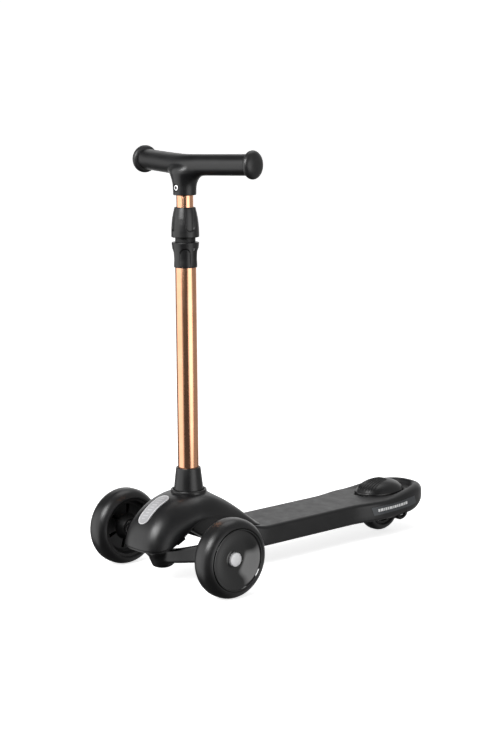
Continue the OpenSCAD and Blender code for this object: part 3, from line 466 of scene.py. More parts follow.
def deck_loop(y):
    across = 68
    under = 24
    half = deck_half(y)

    def squeeze(u):
        return (1 if u > 0 else -1) * (1 - (1 - abs(u)) ** 2)

    loop = []
    for k in range(across + 1):
        x = half * squeeze(2 * k / across - 1)
        loop.append(place(x, y, top_height(x, y)))
    low, high = deck_low(y) + edge_low(y), top_height(half, y)
    for k in (1, 2):
        loop.append(place(half, y, mix(high, low, k / 3)))
    for k in range(under + 1):
        x = -half * squeeze(2 * k / under - 1)
        loop.append(place(x, y, deck_low(y) + fillet(edge_distance(x, y), edge_low(y))))
    for k in (1, 2):
        loop.append(place(-half, y, mix(low, high, k / 3)))
    return loop


def ellipse(a, b, cx, cy, count=96):
    return [(cx + a * cos(2 * pi * k / count), cy + b * sin(2 * pi * k / count)) for k in range(count)]


def rectangle(x0, x1, y0, y1, r=2):
    return rounded([(x0, y0, r), (x1, y0, r), (x1, y1, r), (x0, y1, r)])


def build_deck():
    steps = [mix(neck_front, neck_back, k / 44) for k in range(44)]
    steps += [mix(neck_back, tail_start, k / 10) for k in range(10)]
    steps += [mix(tail_start, tail_mid, k / 24) for k in range(24)]
    steps += [mix(tail_mid, tail_tip, 0.99995 * sin(pi / 2 * k / 60)) for k in range(61)]
    deck = loops_mesh("deck_shell", [deck_loop(y) for y in steps], satin)
    cutters = []
    # pockets between the ribs under the deck
    rib_back = slot_front - 10
    rows = [mix(neck_back, rib_back - 40, k / 4) for k in range(5)]
    columns = [-deck_w / 2 + wall, -deck_w / 6, deck_w / 6, deck_w / 2 - wall]
    for row in range(4):
        for column in range(3):
            outline = rectangle(columns[column] + 2, columns[column + 1] - 2,
                                rows[row] + wall, rows[row + 1] - 0.5, 3)
            cutters.append(prism(outline, 0, deck_top - wall - 1))
    cut(deck, joined(cutters))
    # slot for the rear wheel, opening for the brake and its hinge, hole for the stem socket
    cut(deck, prism(rectangle(-slot_half, slot_half, slot_front, slot_rear, 3), 0, 2 * deck_top))
    cut(deck, prism(ellipse(dome_a + 1, dome_b + 1, 0, wheelbase), 50, 2 * deck_top))
    cut(deck, prism(rectangle(-11, 11, pin_y - 6, pin_y + 3.9, 1), pin_z - 6, 2 * deck_top))
    cut(deck, prism(ellipse(lower_r + 6.1, lower_r + 6.1, 0, stem_y), 0, 2 * deck_top))
    deck.data.materials.append(tread)
    for polygon in deck.data.polygons:
        centre = polygon.center / MM
        y = centre.y - axle_y
        inside = edge_distance(centre.x, y) > 3.5
        if polygon.normal.z > 0.7 and inside and y > neck_back - 40:
            polygon.material_index = 1
    piece(deck, "frame", "satin_black", "deck")
    for side, name in ((1, "left"), (-1, "right")):
        outline = rounded([(slot_half + 0.5, 4.2), (slot_half + 0.5, lobe_r, 1), (axle_wall_x - 4, lobe_r, 2),
                           (axle_wall_x, lobe_r - 2.5, 2), (axle_wall_x, 10, 0.8),
                           (axle_wall_x - 0.8, 9, 0.6), (axle_wall_x - 8, 9), (axle_wall_x - 8, 4.2)])
        outline = [(p[0] * side, p[1]) for p in outline]
        lobe = turned("axle_lobe_" + name, outline, (0, wheelbase, rear_r), (1, 0, 0), satin, 96)
        piece(lobe, "frame", "satin_black")


# ---------- Side labels ----------
label_front = wheelbase - 66
label_back = wheelbase + 38
label_h = 14


def label_low(y):
    return deck_low(y) + edge_r + mix(4, 7, share(y, label_front, label_back))


def build_label(side, name):
    def strip(label, y0, y1, low_share, high_share, slant, lift_by, material, steps, nodes=()):
        loops = []
        for k in range(steps + 1):
            loop = []
            for part, out in ((low_share, 0), (high_share, 0), (high_share, 1), (low_share, 1)):
                y = mix(y0, y1, k / steps) + slant * (part - low_share)
                high = min(deck_high(y) - edge_top(y) - 0.5, label_low(y) + label_h)
                z = mix(label_low(y), high, part)
                x = deck_half(y) + lift_by + 0.25 * out
                loop.append(place(side * x, y, z))
            loops.append(loop)
        piece(loops_mesh(label, loops, material), "frame", "label_grey", *nodes)

    strip("side_label_film_" + name, label_front, label_back, 0, 1, -6, 0.2, label_film, 40,
          ("side_label_" + name,))
    # generic marks: a row of slanted dashes
    y = label_front + 8
    for k, length in enumerate((3, 6, 2, 4, 3, 7, 2, 5, 3, 4, 6, 3, 5)):
        dash = "side_label_dash_%s_%02d" % (name, k)
        strip(dash, y, y + length, 0.38, 0.72, -1.6, 0.46, label_ink, 4)
        y += length + 1.3


# ---------- Head cover ----------
ring_r = 27.5
ring_h = 5
nose_low = 62
cover_back = neck_back - 1
skirt_drop = 3
full_side, full_nose, full_back = 1.7, 1.85, 0.92
cover_wall = 3.5


def cover_half(y):
    return mix(cover_w / 2, deck_w / 2 - 2, ease(share(y, stem_y, stem_y + 95)))


def cover_rim_z(y):
    if y < stem_y:
        return mix(nose_low, neck_top - 4, ease(share(y, 13 - nose_reach, stem_y - 9)))
    return max(deck_high(y) - 4 * (1 - ease(share(y, neck_back - 70, neck_back - 20))), deck_top) + 1


def cover_point(a, u, inset):
    c, s = cos(a), sin(a)
    power = 2 / (3.2 if s < 0 else 4)
    reach = stem_y + nose_reach if s < 0 else cover_back - stem_y
    ry = stem_y + (1 if s > 0 else -1) * (reach - inset) * abs(s) ** power
    rx = (1 if c > 0 else -1) * (cover_half(ry) - inset) * abs(c) ** power
    p = mix(full_side, full_nose, -s) if s < 0 else mix(full_side, full_back, s)
    h = max(0, 1 - u**p) ** (1 / p)
    foot = ring_z - ring_h - inset
    return (mix((ring_r - inset) * c, rx, u), mix(stem_y + (ring_r - inset) * s, ry, u),
            mix(cover_rim_z(ry), foot, h))


def build_cover():
    sides = 200
    angles = [2 * pi * (k + 0.5) / sides for k in range(sides)]

    def level(u, inset, drop=0):
        return [place(*(Vector(cover_point(a, u, inset)) - Vector((0, 0, drop)))) for a in angles]

    def circle(r, z):
        return [place(r * cos(a), stem_y + r * sin(a), z) for a in angles]

    shares = [sin(pi / 2 * k / 46) for k in range(46, 0, -1)]
    loops = [level(1, 1.4, skirt_drop), level(1, 1.2, 0.6), level(1, 0.5, 0.1), level(1, 0.1, -0.5)]
    loops += [level(u, 0) for u in shares[1:]] + [level(0.012, 0)]
    top = ring_z
    foot = ring_z - ring_h
    collar = ((0, foot + 0.6), (-0.05, foot + 2.6), (0, top - 1.5), (0.35, top - 0.6), (1.1, top - 0.1),
              (1.9, top), (2.7, top - 0.1), (3.4, top - 0.6), (3.8, top - 1.5), (4, top - 3), (4, foot - 6))
    loops += [circle(ring_r - inset, z) for inset, z in collar]
    loops += [level(u, cover_wall) for u in (0.1, 0.3, 0.5, 0.7, 0.85, 0.95, 0.99)]
    loops.append(level(1, cover_wall, skirt_drop))
    cover = loops_mesh("head_cover_shell", loops, satin, closed=True, sharp=40)
    piece(cover, "frame", "satin_black", "head_cover")


# ---------- Nose badge ----------
badge_w = 22
badge_from, badge_to = 0.84, 0.18


def nose_frame(u):
    """Point and outward direction of the cover's middle line."""
    p, q = Vector(cover_point(1.5 * pi, u, 0)), Vector(cover_point(1.5 * pi, u - 0.02, 0))
    run = q - p
    out = Vector((0, -run.z, run.y)).normalized()
    return p, out


nose_line = [Vector(cover_point(1.5 * pi, mix(badge_from, badge_to, k / 60), 0)) for k in range(61)]
nose_length = [0]
for p, q in zip(nose_line, nose_line[1:]):
    nose_length.append(nose_length[-1] + (q - p).length)
badge_l = nose_length[-1]


def nose_point(s, x, height):
    """A point s millimetres up the badge's middle line, x to the side and height above the cover."""
    u = mix(badge_from, badge_to, float(np.interp(s, nose_length, np.arange(61) / 60)))
    p, out = nose_frame(u)
    sag = x * x / cover_w * 0.55
    return place(x, p.y + out.y * (height - sag), p.z + out.z * (height - sag))


def pill(inset, arc=24, side=26):
    """Outline of the badge as (distance along, x), shrunk by inset millimetres."""
    half = max(badge_w / 2 - inset, 0.02)
    low, high = badge_w / 2, badge_l - badge_w / 2
    points = [(high + half * sin(pi * k / arc), half * cos(pi * k / arc)) for k in range(arc + 1)]
    points += [(mix(high, low, k / side), -half) for k in range(1, side)]
    points += [(low - half * sin(pi * k / arc), -half * cos(pi * k / arc)) for k in range(arc + 1)]
    points += [(mix(low, high, k / side), half) for k in range(1, side)]
    return points


def badge_loop(inset, height):
    return [nose_point(s, x, height) for s, x in pill(inset)]


def build_badge():
    half = badge_w / 2
    rim = [(half - 0.01, -0.4), (half * 0.5, -0.4), (0.4, -0.3), (0, 0.6), (0, 1.7), (0.3, 2.05),
           (0.75, 2.15), (1.25, 2.05), (1.5, 1.7), (1.55, 1.55)]
    plate = loops_mesh("badge_plate", [badge_loop(i, h) for i, h in rim], badge_silver, caps=False)
    piece(plate, "frame", "badge_silver", "nose_badge")
    field = [(1.5, 1.2), (1.5, 1.56), (3, 1.57), (5, 1.58), (7.5, 1.59), (half - 0.01, 1.6)]
    plate = loops_mesh("badge_field", [badge_loop(i, h) for i, h in field], badge_field)
    piece(plate, "frame", "badge_silver")
    # generic raised pattern: short slanted bars across the field
    count = 9
    for k in range(count):
        along = mix(0.15, 0.85, k / (count - 1)) * badge_l
        tall = 4.6 if k % 2 else 3.4
        bar = []
        for inset, height in ((0, 1.4), (0, 1.8), (0.2, 1.9)):
            outline = rounded([(-tall + inset, -0.9 + inset, 0.7), (tall - inset, -0.9 + inset, 0.7),
                               (tall - inset, 0.9 - inset, 0.7), (-tall + inset, 0.9 - inset, 0.7)], 4)
            bar.append([nose_point(along + p[1] + 0.18 * p[0], p[0], height) for p in outline])
        piece(loops_mesh("badge_bar_%d" % k, bar, badge_mark), "frame", "badge_silver")


# ---------- Stem ----------
tube_wall = 1.6


def on_stem(name, outline, material):
    """A piece turned about the stem, over an outline of (height, radius)."""
    return turned(name, outline, (0, stem_y, 0), (0, 0, 1), material)


def build_tube(name, node, radius, body):
    low, high = box(node)[0].z, box(node)[1].z
    inner = radius - tube_wall
    outline = rounded([(low, inner, 0.3), (low, radius, 0.3), (high, radius, 0.3), (high, inner, 0.3)], 2)
    piece(on_stem(name, outline, rose_gold), body, "rose_gold", node)


def build_stem():
    low, high = box("stem_sleeve")[0].z, box("stem_sleeve")[1].z
    sleeve = rounded([(low, lower_r + 0.1), (low, 22.7), (ring_z - 1, 22.7, 1), (high, 18.7, 1.6),
                      (high, lower_r + 0.1, 0.4)])
    piece(on_stem("stem_sleeve_cone", sleeve, satin), "frame", "satin_black", "stem_sleeve")
    build_tube("lower_tube_anodised", "lower_tube", lower_r, "frame")
    build_tube("upper_tube_anodised", "upper_tube", upper_r, "handle")


def curve_at(points, z):
    for (z0, r0), (z1, r1) in zip(points, points[1:]):
        if z <= z1:
            return mix(r0, r1, share(z, z0, z1))
    return points[-1][1]


def smooth_curve(points, z, span=3):
    return sum(curve_at(points, z + span * (k - 3) / 3) for k in range(7)) / 7


def collar_mesh(name, profile, inner, recess, low, high, material):
    """A turned collar whose outer radius is lowered by recess(angle, z)."""
    sides, levels = 240, 90
    angles = [2 * pi * k / sides for k in range(sides)]

    def ring(radius_at, z):
        return [place(radius_at(a) * cos(a), stem_y + radius_at(a) * sin(a), z) for a in angles]

    loops = [ring(lambda a: inner, low + 0.3)]
    for k in range(levels + 1):
        z = mix(low, high, k / levels)
        d = min(z - low, high - z)
        trim = fillet(d, 1.1)
        loops.append(ring(lambda a: smooth_curve(profile, z, 1.5) - trim - recess(a, z), z))
    loops.append(ring(lambda a: inner, high - 0.3))
    return loops_mesh(name, loops, material, closed=True, sharp=50)


def away(a, first, count):
    """Angle in degrees from the nearest of count places round the collar, the first at first."""
    pitch = 360 / count
    return (degrees(a) - first + pitch / 2) % pitch - pitch / 2


def build_collars():
    profile = [(collar_low, 17.9), (collar_low + 6.3, 18.6), (collar_low + 16, 18.9), (collar_low + 26, 19.5),
               (collar_low + 33, 20.2), (collar_top, 20.8)]

    def arches(a, z):
        x = abs(away(a, -41, 4)) / 90 * (pi / 2 * 19.5)
        half = 8.6
        crown = collar_top - 9
        d = half - x if z < crown - half else half - hypot(x, z - crown + half)
        return 1.8 * ease(d / 0.9 + 0.5) * ease((z - collar_low + 6) / 20)

    collar = collar_mesh("lower_collar_shell", profile, lower_r + 0.1, arches, collar_low, collar_top, satin)
    turn = radians(4)
    screw_z = middle("collar_screw").z

    def at_screw(x, y, z):
        return place(z * cos(turn) - x * sin(turn), stem_y + z * sin(turn) + x * cos(turn), screw_z + y)

    cut(collar, prism(ellipse(2.2, 2.2, 0, 0, 32), lower_r + 1.7, 30, at_screw))
    piece(collar, "frame", "satin_black", "lower_collar")
    neck = rounded([(collar_top - 6, upper_r + 1), (collar_top - 6, 15.2), (nut_low + 14, 15.2, 0.5),
                    (nut_low + 14, upper_r + 1, 0.4)])
    piece(on_stem("collar_neck", neck, core_black), "frame", "satin_black")

    profile = [(nut_low, 20.9), (nut_low + 1.5, 20.95), (nut_low + 10.4, 20.8), (nut_low + 19.4, 20.2),
               (nut_low + 28.3, 19.2), (nut_low + 37.2, 17.4), (nut_low + 42.6, 16.2), (nut_high, 15.7)]

    def scoops(a, z):
        t = share(z, nut_low + 8, nut_high - 6)
        x = abs(away(a, -15, 4)) / 90 * (pi / 2 * 19.5)
        half = mix(6.4, 8.6, t)
        foot = nut_low + 9 + half
        d = half - x if z > foot else half - hypot(x, (z - foot) * 1.1)
        return 2.3 * ease(d / 2 + 0.5) * (1 - 0.6 * ease((z - nut_low - 18) / 25))

    twist = collar_mesh("twist_collar_shell", profile, upper_r + 0.8, scoops, nut_low, nut_high, satin)
    piece(twist, "clamp_nut", "satin_black", "twist_collar")


# ---------- Handle ----------
bar_z = middle("end_pad_left").z - 2.5
bar_r = 15.7
bar_half = 127.7
bar_sweep = radians(11)
bar_rise = radians(1.6)
pad_l = 11


def bar_axis(side):
    return Vector((side * cos(bar_sweep) * cos(bar_rise), sin(bar_sweep) * cos(bar_rise), sin(bar_rise)))


def remeshed(thing, voxel):
    modifier = thing.modifiers.new("remesh", "REMESH")
    modifier.mode = "VOXEL"
    modifier.voxel_size = voxel * MM
    graph = bpy.context.evaluated_depsgraph_get()
    mesh = bpy.data.meshes.new_from_object(thing.evaluated_get(graph))
    thing.modifiers.clear()
    thing.data = mesh
    return mesh


def settle(mesh, distance, rounds=8):
    """Moves every vertex onto the surface where distance is nought, in millimetres from the front axle."""
    count = len(mesh.vertices)
    points = np.empty(count * 3)
    mesh.vertices.foreach_get("co", points)
    points = points.reshape(-1, 3) / MM - np.array([0, axle_y, 0])
    step = 0.05
    for _ in range(rounds):
        d = distance(points)
        slope = np.stack([distance(points + np.eye(3)[k] * step) - distance(points - np.eye(3)[k] * step)
                          for k in range(3)], axis=1) / (2 * step)
        length = np.linalg.norm(slope, axis=1, keepdims=True)
        points -= np.clip(d, -3, 3)[:, None] * slope / np.maximum(length, 0.3) ** 2
    mesh.vertices.foreach_set("co", ((points + np.array([0, axle_y, 0])) * MM).ravel())
    mesh.update()


def smooth_min(a, b, k):
    h = np.clip(0.5 + 0.5 * (b - a) / k, 0, 1)
    return b * (1 - h) + a * h - k * h * (1 - h)


def smooth_max(a, b, k):
    return -smooth_min(-a, -b, k)


def handle_distance(points):
    """Distance from the grip bar, swept back on both sides of a soft bend, and its socket below."""
    centre = Vector((0, stem_y, bar_z))
    bend = 14
    run = np.sqrt(points[:, 0] ** 2 + bend**2)
    slope = points[:, 0] / run
    back = (points[:, 1] - stem_y - tan(bar_sweep) * run) / np.sqrt(1 + (tan(bar_sweep) * slope) ** 2)
    up = points[:, 2] - bar_z - tan(bar_rise) * run
    u = np.clip(0.5 - up / 18, 0, 1)
    fuller = 2.6 * np.exp(-(points[:, 0] / 24) ** 2) * u * u * (3 - 2 * u)
    bar = np.hypot(back, up) - bar_r - fuller
    for side in (1, -1):
        along = (points - np.array(centre)) @ np.array(bar_axis(side))
        bar = smooth_max(bar, along - (bar_half - pad_l / 2 + 0.4), 0.6)
    below = bar_z - points[:, 2]
    r = np.hypot(points[:, 0], points[:, 1] - stem_y)
    socket_r = 17.2 + np.clip(points[:, 2] - handle_low, 0, 40) * 0.03
    socket = smooth_max(r - socket_r, 1 - below, 12)
    shape = smooth_min(bar, socket, 5 + 15 * np.clip((below + 2) / 14, 0, 1))
    return smooth_max(shape, handle_low - points[:, 2], 1.0)


def build_handle():
    parts = []
    centre = Vector((0, stem_y, bar_z))
    for side in (1, -1):
        outline = [(0, 0.01), (0, bar_r), (bar_half - pad_l / 2, bar_r), (bar_half - pad_l / 2, 0.01)]
        parts.append(turned("core", outline, centre, bar_axis(side), satin, 48))
    outline = [(handle_low, 0.01), (handle_low, 17.5), (bar_z - 24, 18), (bar_z - 8, 26), (bar_z - 6, 0.01)]
    parts.append(turned("core", outline, (0, stem_y, 0), (0, 0, 1), satin, 48))
    bar = joined(parts)
    mesh = remeshed(bar, 1.5)
    settle(mesh, handle_distance)
    mesh.materials.clear()
    mesh.materials.append(satin)
    mesh.shade_smooth()
    screw_z = middle("handle_screw").z

    def front(x, y, z):
        return place(x, stem_y - z, screw_z + y)

    cut(bar, prism(ellipse(upper_r, upper_r, 0, stem_y, 96), 0, bar_z - 12))
    cut(bar, prism(ellipse(5.9, 5.9, 0, 0, 64), 14.6, 40, front))
    bar.data.set_sharp_from_angle(angle=radians(40))
    bar.name = "handlebar_grip"
    piece(bar, "handle", "satin_black", "handlebar")

    def on_screw(name, outline, material, segments, slot, *nodes):
        thing = turned(name, outline, (0, stem_y, screw_z), (0, -1, 0), material, segments)
        piece(thing, "handle", slot, *nodes)

    ring = rounded([(14.2, 4.9, 0.2), (14.2, 5.85), (16.9, 5.85, 0.4), (16.9, 4.9, 0.4)], 3)
    head = rounded([(13.5, 0.02), (13.5, 4.5), (16.7, 4.5, 0.9), (16.9, 2.4, 0.3), (15.4, 2.2, 0.1),
                    (15.3, 0.02)], 4)
    # painted shade: a dark hexagonal disc at the bottom of the screw head's recess stands for the shade
    # inside the chrome socket
    socket_painted_shade = [(15.35, 0.02), (15.35, 2.15), (15.7, 2.15), (15.7, 0.02)]
    on_screw("screw_ring", ring, core_black, 64, "satin_black")
    on_screw("screw_head", head, chrome, 64, "screw_chrome", "handle_screw")
    on_screw("screw_socket_painted_shade", socket_painted_shade, core_black, 6, "screw_chrome")
    pad_r = 21
    tube_r = pad_l / 2
    for side, name in ((1, "left"), (-1, "right")):
        outline = [(-tube_r, 9.2), (-tube_r, bar_r - 1), (-tube_r + 0.25, bar_r + 0.4)]
        outline += [(tube_r * sin(radians(a)), pad_r - tube_r + tube_r * cos(radians(a)))
                    for a in range(-80, 0, 8)]
        outline += [(9.5 * sin(radians(a)), max(0.02, pad_r * cos(radians(a)) ** 0.85))
                    for a in range(0, 91, 6)]
        outline += [(1.5, 0.02), (1.5, 9.2)]
        end = centre + bar_axis(side) * bar_half
        pad = turned("end_pad_round_" + name, outline, end, bar_axis(side), rubber)
        piece(pad, "handle", "rubber_black", "end_pad_" + name)


# ---------- Wheels ----------
def tyre_outline(r, core, half, round_r):
    start = asin(clamp((core + 1 - r + round_r) / round_r))
    outline = [(-half + 3, core), (-half + 2.2, core + 0.2)]
    outline += [(round_r - half + round_r * cos(mix(pi - start, pi / 2, k / 24)),
                 r - round_r + round_r * sin(mix(pi - start, pi / 2, k / 24))) for k in range(1, 25)]
    outline += [(half - round_r + round_r * cos(mix(pi / 2, start, k / 24)),
                 r - round_r + round_r * sin(mix(pi / 2, start, k / 24))) for k in range(24)]
    return outline + [(half - 2.2, core + 0.2), (half - 3, core)]


def build_front_wheel(side, name):
    body = "wheel_" + name
    origin = (side * wheel_x, 0, front_r)
    axis = (side, 0, 0)
    outline = tyre_outline(front_r, core_r, front_half, front_half - 3)
    tyre = turned("tyre_body_" + name, outline, origin, axis, tyre_black, 192)
    piece(tyre, body, "tyre_black", "tyre_" + name)
    # hub: rim, boss and a dished web with slots
    boss = 15
    rim_in, rim_out = -front_half + 4, front_half - 10
    inner = box("hub_left")[0].x - wheel_x
    outer = box("bearings_left")[1].x - wheel_x
    seat_r = 11.05
    outline = rounded([(rim_in, core_r), (rim_in, core_r - 5, 0.6), (-6, core_r - 6, 3),
                       (-2.5, core_r - 10, 3), (-3.5, boss + 5, 3), (inner, boss, 1), (inner, seat_r, 0.4),
                       (outer, seat_r), (outer, boss), (3, boss + 4, 2), (3, core_r - 7, 2),
                       (rim_out, core_r - 5, 1), (rim_out + 4, core_r - 2, 0.5), (rim_out + 4, core_r)])
    hub = turned("hub_web_" + name, outline, origin, axis, core_black, 144)

    def at_web(u, v, w):
        return place(side * (wheel_x + w), u, front_r + v)

    cutters = []
    for k in range(6):
        a = radians(60 * k + 80)
        slot = rounded([(20, -2.2, 2), (35, -3, 2.6), (35, 3, 2.6), (20, 2.2, 2)], 6)
        slot = [(p[0] * cos(a) - p[1] * sin(a), p[0] * sin(a) + p[1] * cos(a)) for p in slot]
        cutters.append(prism(slot, -14, 14, at_web))
    cut(hub, joined(cutters))
    piece(hub, body, "core_black", "hub_" + name)
    # glossy dished cover
    edge = core_r - 0.6
    face = front_half - 1.2
    cap_r = 10.3
    bowl = 8

    def bowl_depth(t):
        return bowl * sin(pi / 2 * t) ** 1.3

    outline = rounded([(rim_out + 4.1, edge - 2.2), (rim_out + 4.1, edge), (face - 0.2, edge, 0.5),
                       (face, edge - 1.6, 0.6), (face - 1.4, edge - 2.4, 0.5), (face - 2, edge - 2.8)], 6)
    outline += [(face - 2 - bowl_depth(t / 20), mix(edge - 2.8, cap_r + 3.5, t / 20)) for t in range(1, 21)]
    outline += rounded([(face - 9.2, cap_r + 2.4, 0.6), (face - 9, cap_r + 0.6, 0.5),
                        (face - 11, cap_r + 0.5), (face - 12, cap_r + 4)], 4)
    outline += [(face - 3.8 - bowl_depth(t / 8), mix(edge - 3.6, cap_r + 4, t / 8)) for t in range(7, -1, -1)]
    dish = turned("hub_dish_" + name, outline, origin, axis, gloss, 192, 50)
    piece(dish, body, "gloss_black", "hub_cover_" + name)
    # domed cap
    cap_face = front_half - 7.2
    outline = [(cap_face - 4, 0.02), (cap_face - 4, cap_r - 0.4), (cap_face - 0.6, cap_r)]
    outline += [(cap_face + 2.2 * cos(asin(q)), cap_r * q)
                for q in (0.995, 0.97, 0.92, 0.85, 0.75, 0.6, 0.42, 0.2)]
    outline += [(cap_face + 2.2, 0.02)]
    dome = turned("axle_cap_dome_" + name, outline, origin, axis, cap_silver, 96, 50)
    piece(dome, body, "cap_silver", "axle_cap_" + name)


def build_rear_wheel():
    origin = (0, wheelbase, rear_r)
    outline = tyre_outline(rear_r, rear_core_r, rear_half, rear_half - 3)
    tyre = turned("rear_tyre_body", outline, origin, (1, 0, 0), tyre_black, 160)
    piece(tyre, "wheel_rear", "tyre_black", "rear_tyre")


# ---------- Front truck ----------
king_y, king_z, king_tilt = -28, 45, radians(25)
king_axis = Vector((0, -sin(king_tilt), cos(king_tilt)))
king_back = Vector((0, cos(king_tilt), sin(king_tilt)))
boss_r, boss_low, boss_high = 18.5, -12, 14
arm_start, arm_run, arm_tip = 8, 90, 99
end_r, end_low, end_high = 14.5, 84, 103
tongue_half = 5                            # half its width
tongue_up, tongue_half_h = 9.5, 4.5        # along the steering axis: its middle and half its height
tongue_mid, tongue_half_l = 16, 18         # back from the axis: its middle and half its length


def arm_section(bend):
    """Middle y and z, and half the depth and height, of an arm that has swept by a share of its bend."""
    return -28 + 28 * bend, 46 + 13.5 * bend, 9 + 2 * bend, 10 + 4.5 * bend


def truck_distance(points):
    """Distance from the truck's surface: a boss round the steering axis and two swept arms."""
    c, s = cos(king_tilt), sin(king_tilt)
    y, z = points[:, 1] - king_y, points[:, 2] - king_z
    across, along = y * c + z * s, -y * s + z * c
    r = np.hypot(points[:, 0], across)
    boss = smooth_max(r - boss_r, np.maximum(along - boss_high, boss_low - along), 2)
    x = np.abs(points[:, 0])
    t = np.clip((x - arm_start) / arm_run, 0, 1)
    mid_y, mid_z, half_y, half_z = arm_section(t * t * (3 - 2 * t))
    qy, qz = np.abs(points[:, 1] - mid_y) - half_y + 4, np.abs(points[:, 2] - mid_z) - half_z + 4
    arm = np.hypot(np.maximum(qy, 0), np.maximum(qz, 0)) + np.minimum(np.maximum(qy, qz), 0) - 4
    arm = smooth_max(arm, x - arm_tip, 2)
    end = np.hypot(points[:, 1], points[:, 2] - front_r) - end_r
    end = smooth_max(end, np.maximum(x - end_high, end_low - x), 2)
    tongue = np.maximum(np.abs(along - tongue_up) - tongue_half_h,
                        np.abs(across - tongue_mid) - tongue_half_l)
    tongue = np.maximum(x - tongue_half, tongue)
    return smooth_min(smooth_min(smooth_min(arm, boss, 8), end, 5), tongue, 2)


def build_truck():
    def rod(low, high, radius, origin, axis):
        outline = [(low, 0.01), (low, radius), (high, radius), (high, 0.01)]
        return turned("core", outline, origin, axis, satin, 48)

    corners = ((-1, -1), (1, -1), (1, 1), (-1, 1))
    king = Vector((0, king_y, king_z))
    parts = [rod(boss_low, boss_high, boss_r, king, king_axis)]
    for side in (1, -1):
        loops = []
        for k in range(13):
            x = mix(0, arm_tip, k / 12)
            y, z, half_y, half_z = arm_section(ease((x - arm_start) / arm_run))
            loops.append([place(side * x, y + a * half_y, z + b * half_z) for a, b in corners])
        parts.append(loops_mesh("core", loops, satin))
        parts.append(rod(end_low, end_high, end_r, (0, 0, front_r), (side, 0, 0)))
    middle_of = king + king_axis * tongue_up + king_back * tongue_mid
    loops = []
    for k in (-1, 1):
        end = middle_of + king_back * tongue_half_l * k
        loops.append([place(*(end + Vector((tongue_half * a, 0, 0)) + king_axis * tongue_half_h * b))
                      for a, b in corners])
    parts.append(loops_mesh("core", loops, satin))
    truck = joined(parts)
    mesh = remeshed(truck, 1.4)
    settle(mesh, truck_distance)
    mesh.materials.clear()
    mesh.materials.append(satin)
    mesh.shade_smooth()
    truck.name = "truck_beam"

    def at_pin(x, y, z):
        return place(*(king + Vector((x, 0, 0)) + king_back * y + king_axis * z))

    def at_axle(x, y, z):
        return place(z, x, front_r + y)

    cut(truck, prism(ellipse(7, 7, 0, 0, 64), -3.5, 30, at_pin))
    cut(truck, prism(ellipse(11.5, 11.5, 0, 0, 64), -30, -3, at_pin))
    axle_holes = [prism(ellipse(4, 4, 0, 0, 48), side * 70, side * 120, at_axle) for side in (1, -1)]
    cut(truck, joined(axle_holes))
    truck.data.set_sharp_from_angle(angle=radians(40))
    piece(truck, "front_truck", "satin_black", "axle_beam")
    outline = rounded([(-17.5, 0.02), (-17.5, boss_r, 6), (boss_low, 18.7, 0.4), (boss_low, 11.6),
                       (-13, 11.6), (-13, 0.02)], 8)
    cap = turned("boss_cap_round", outline, king, king_axis, satin, 128)
    # its underside is flattened at this height, with a soft change
    flat, soften = 26.3, 5
    for vertex in cap.data.vertices:
        z = vertex.co.z / MM
        h = clamp(0.5 + 0.5 * (z - flat) / soften)
        vertex.co.z = (mix(flat, z, h) + soften * h * (1 - h)) * MM
    piece(cap, "front_truck", "satin_black", "boss_cap")


# ---------- Brake ----------
ridge_h = 1.7
pedal_wall = 3


def dome_share(u):
    """Height of the dome as a share of its rise, u of the way out from its middle."""
    return max(0, 1 - u**2.3) ** (1 / 1.9)


def ridge(x, y):
    """Ridges that fan out from the top towards the front."""
    back_share = share(y, -dome_b, 14)
    spread_by = mix(1, 0.42, back_share)
    q = x / (5.4 * spread_by)
    fade = ease((16 - y) / 12) * ease((abs(q) < 4.2) * (4.2 - abs(q)) * 2)
    u = hypot(x / dome_a, y / dome_b)
    fade *= ease((0.95 - u) / 0.1)
    wave = 0.5 + 0.5 * cos(2 * pi * q)
    return ridge_h * fade * wave**1.2


def build_brake():
    sides, levels = 168, 56
    skirt = deck_top - 8

    def ring(u, inset, ridged=True):
        loop = []
        for k in range(sides):
            a = 2 * pi * k / sides
            x, y = dome_a * u * cos(a), dome_b * u * sin(a)
            groove = (ridge_h - ridge(x, y) if ridged else 0) * ease((1 - u) / 0.04)
            z = deck_top + (dome_rise - inset) * dome_share(u) - groove
            loop.append(place(x * (dome_a - inset) / dome_a, wheelbase + y * (dome_b - inset) / dome_b, z))
        return loop

    def wall_ring(inset, z):
        return [place(x, y, z) for x, y in ellipse(dome_a - inset, dome_b - inset, 0, wheelbase, sides)]

    loops = [wall_ring(0, skirt)]
    loops += [ring(sin(pi / 2 * k / levels), 0) for k in range(levels, 0, -1)]
    loops.append(ring(0.004, 0))
    loops += [ring(u, pedal_wall, False) for u in (0.004, 0.2, 0.4, 0.6, 0.75, 0.87, 0.95, 0.99, 1)]
    loops.append(wall_ring(pedal_wall, skirt))
    pedal = loops_mesh("brake_pedal_dome", loops, satin, closed=True, sharp=60)
    piece(pedal, "brake", "satin_black", "brake_pedal")
    lug = rounded([(-10, 2.05), (-10, 5, 0.8), (-4, 5, 0.4), (-4, 2.05)], 3)
    for side, name in ((1, "left"), (-1, "right")):
        outline = [(p[0] * side, p[1]) for p in lug]
        thing = turned("brake_lug_" + name, outline, (0, pin_y, pin_z), (1, 0, 0), satin, 48)
        piece(thing, "brake", "satin_black")


build_deck()
for side, name in ((1, "left"), (-1, "right")):
    build_label(side, name)
    build_front_wheel(side, name)
build_rear_wheel()
build_cover()
build_badge()
build_stem()
build_collars()
build_handle()
build_truck()
build_brake()


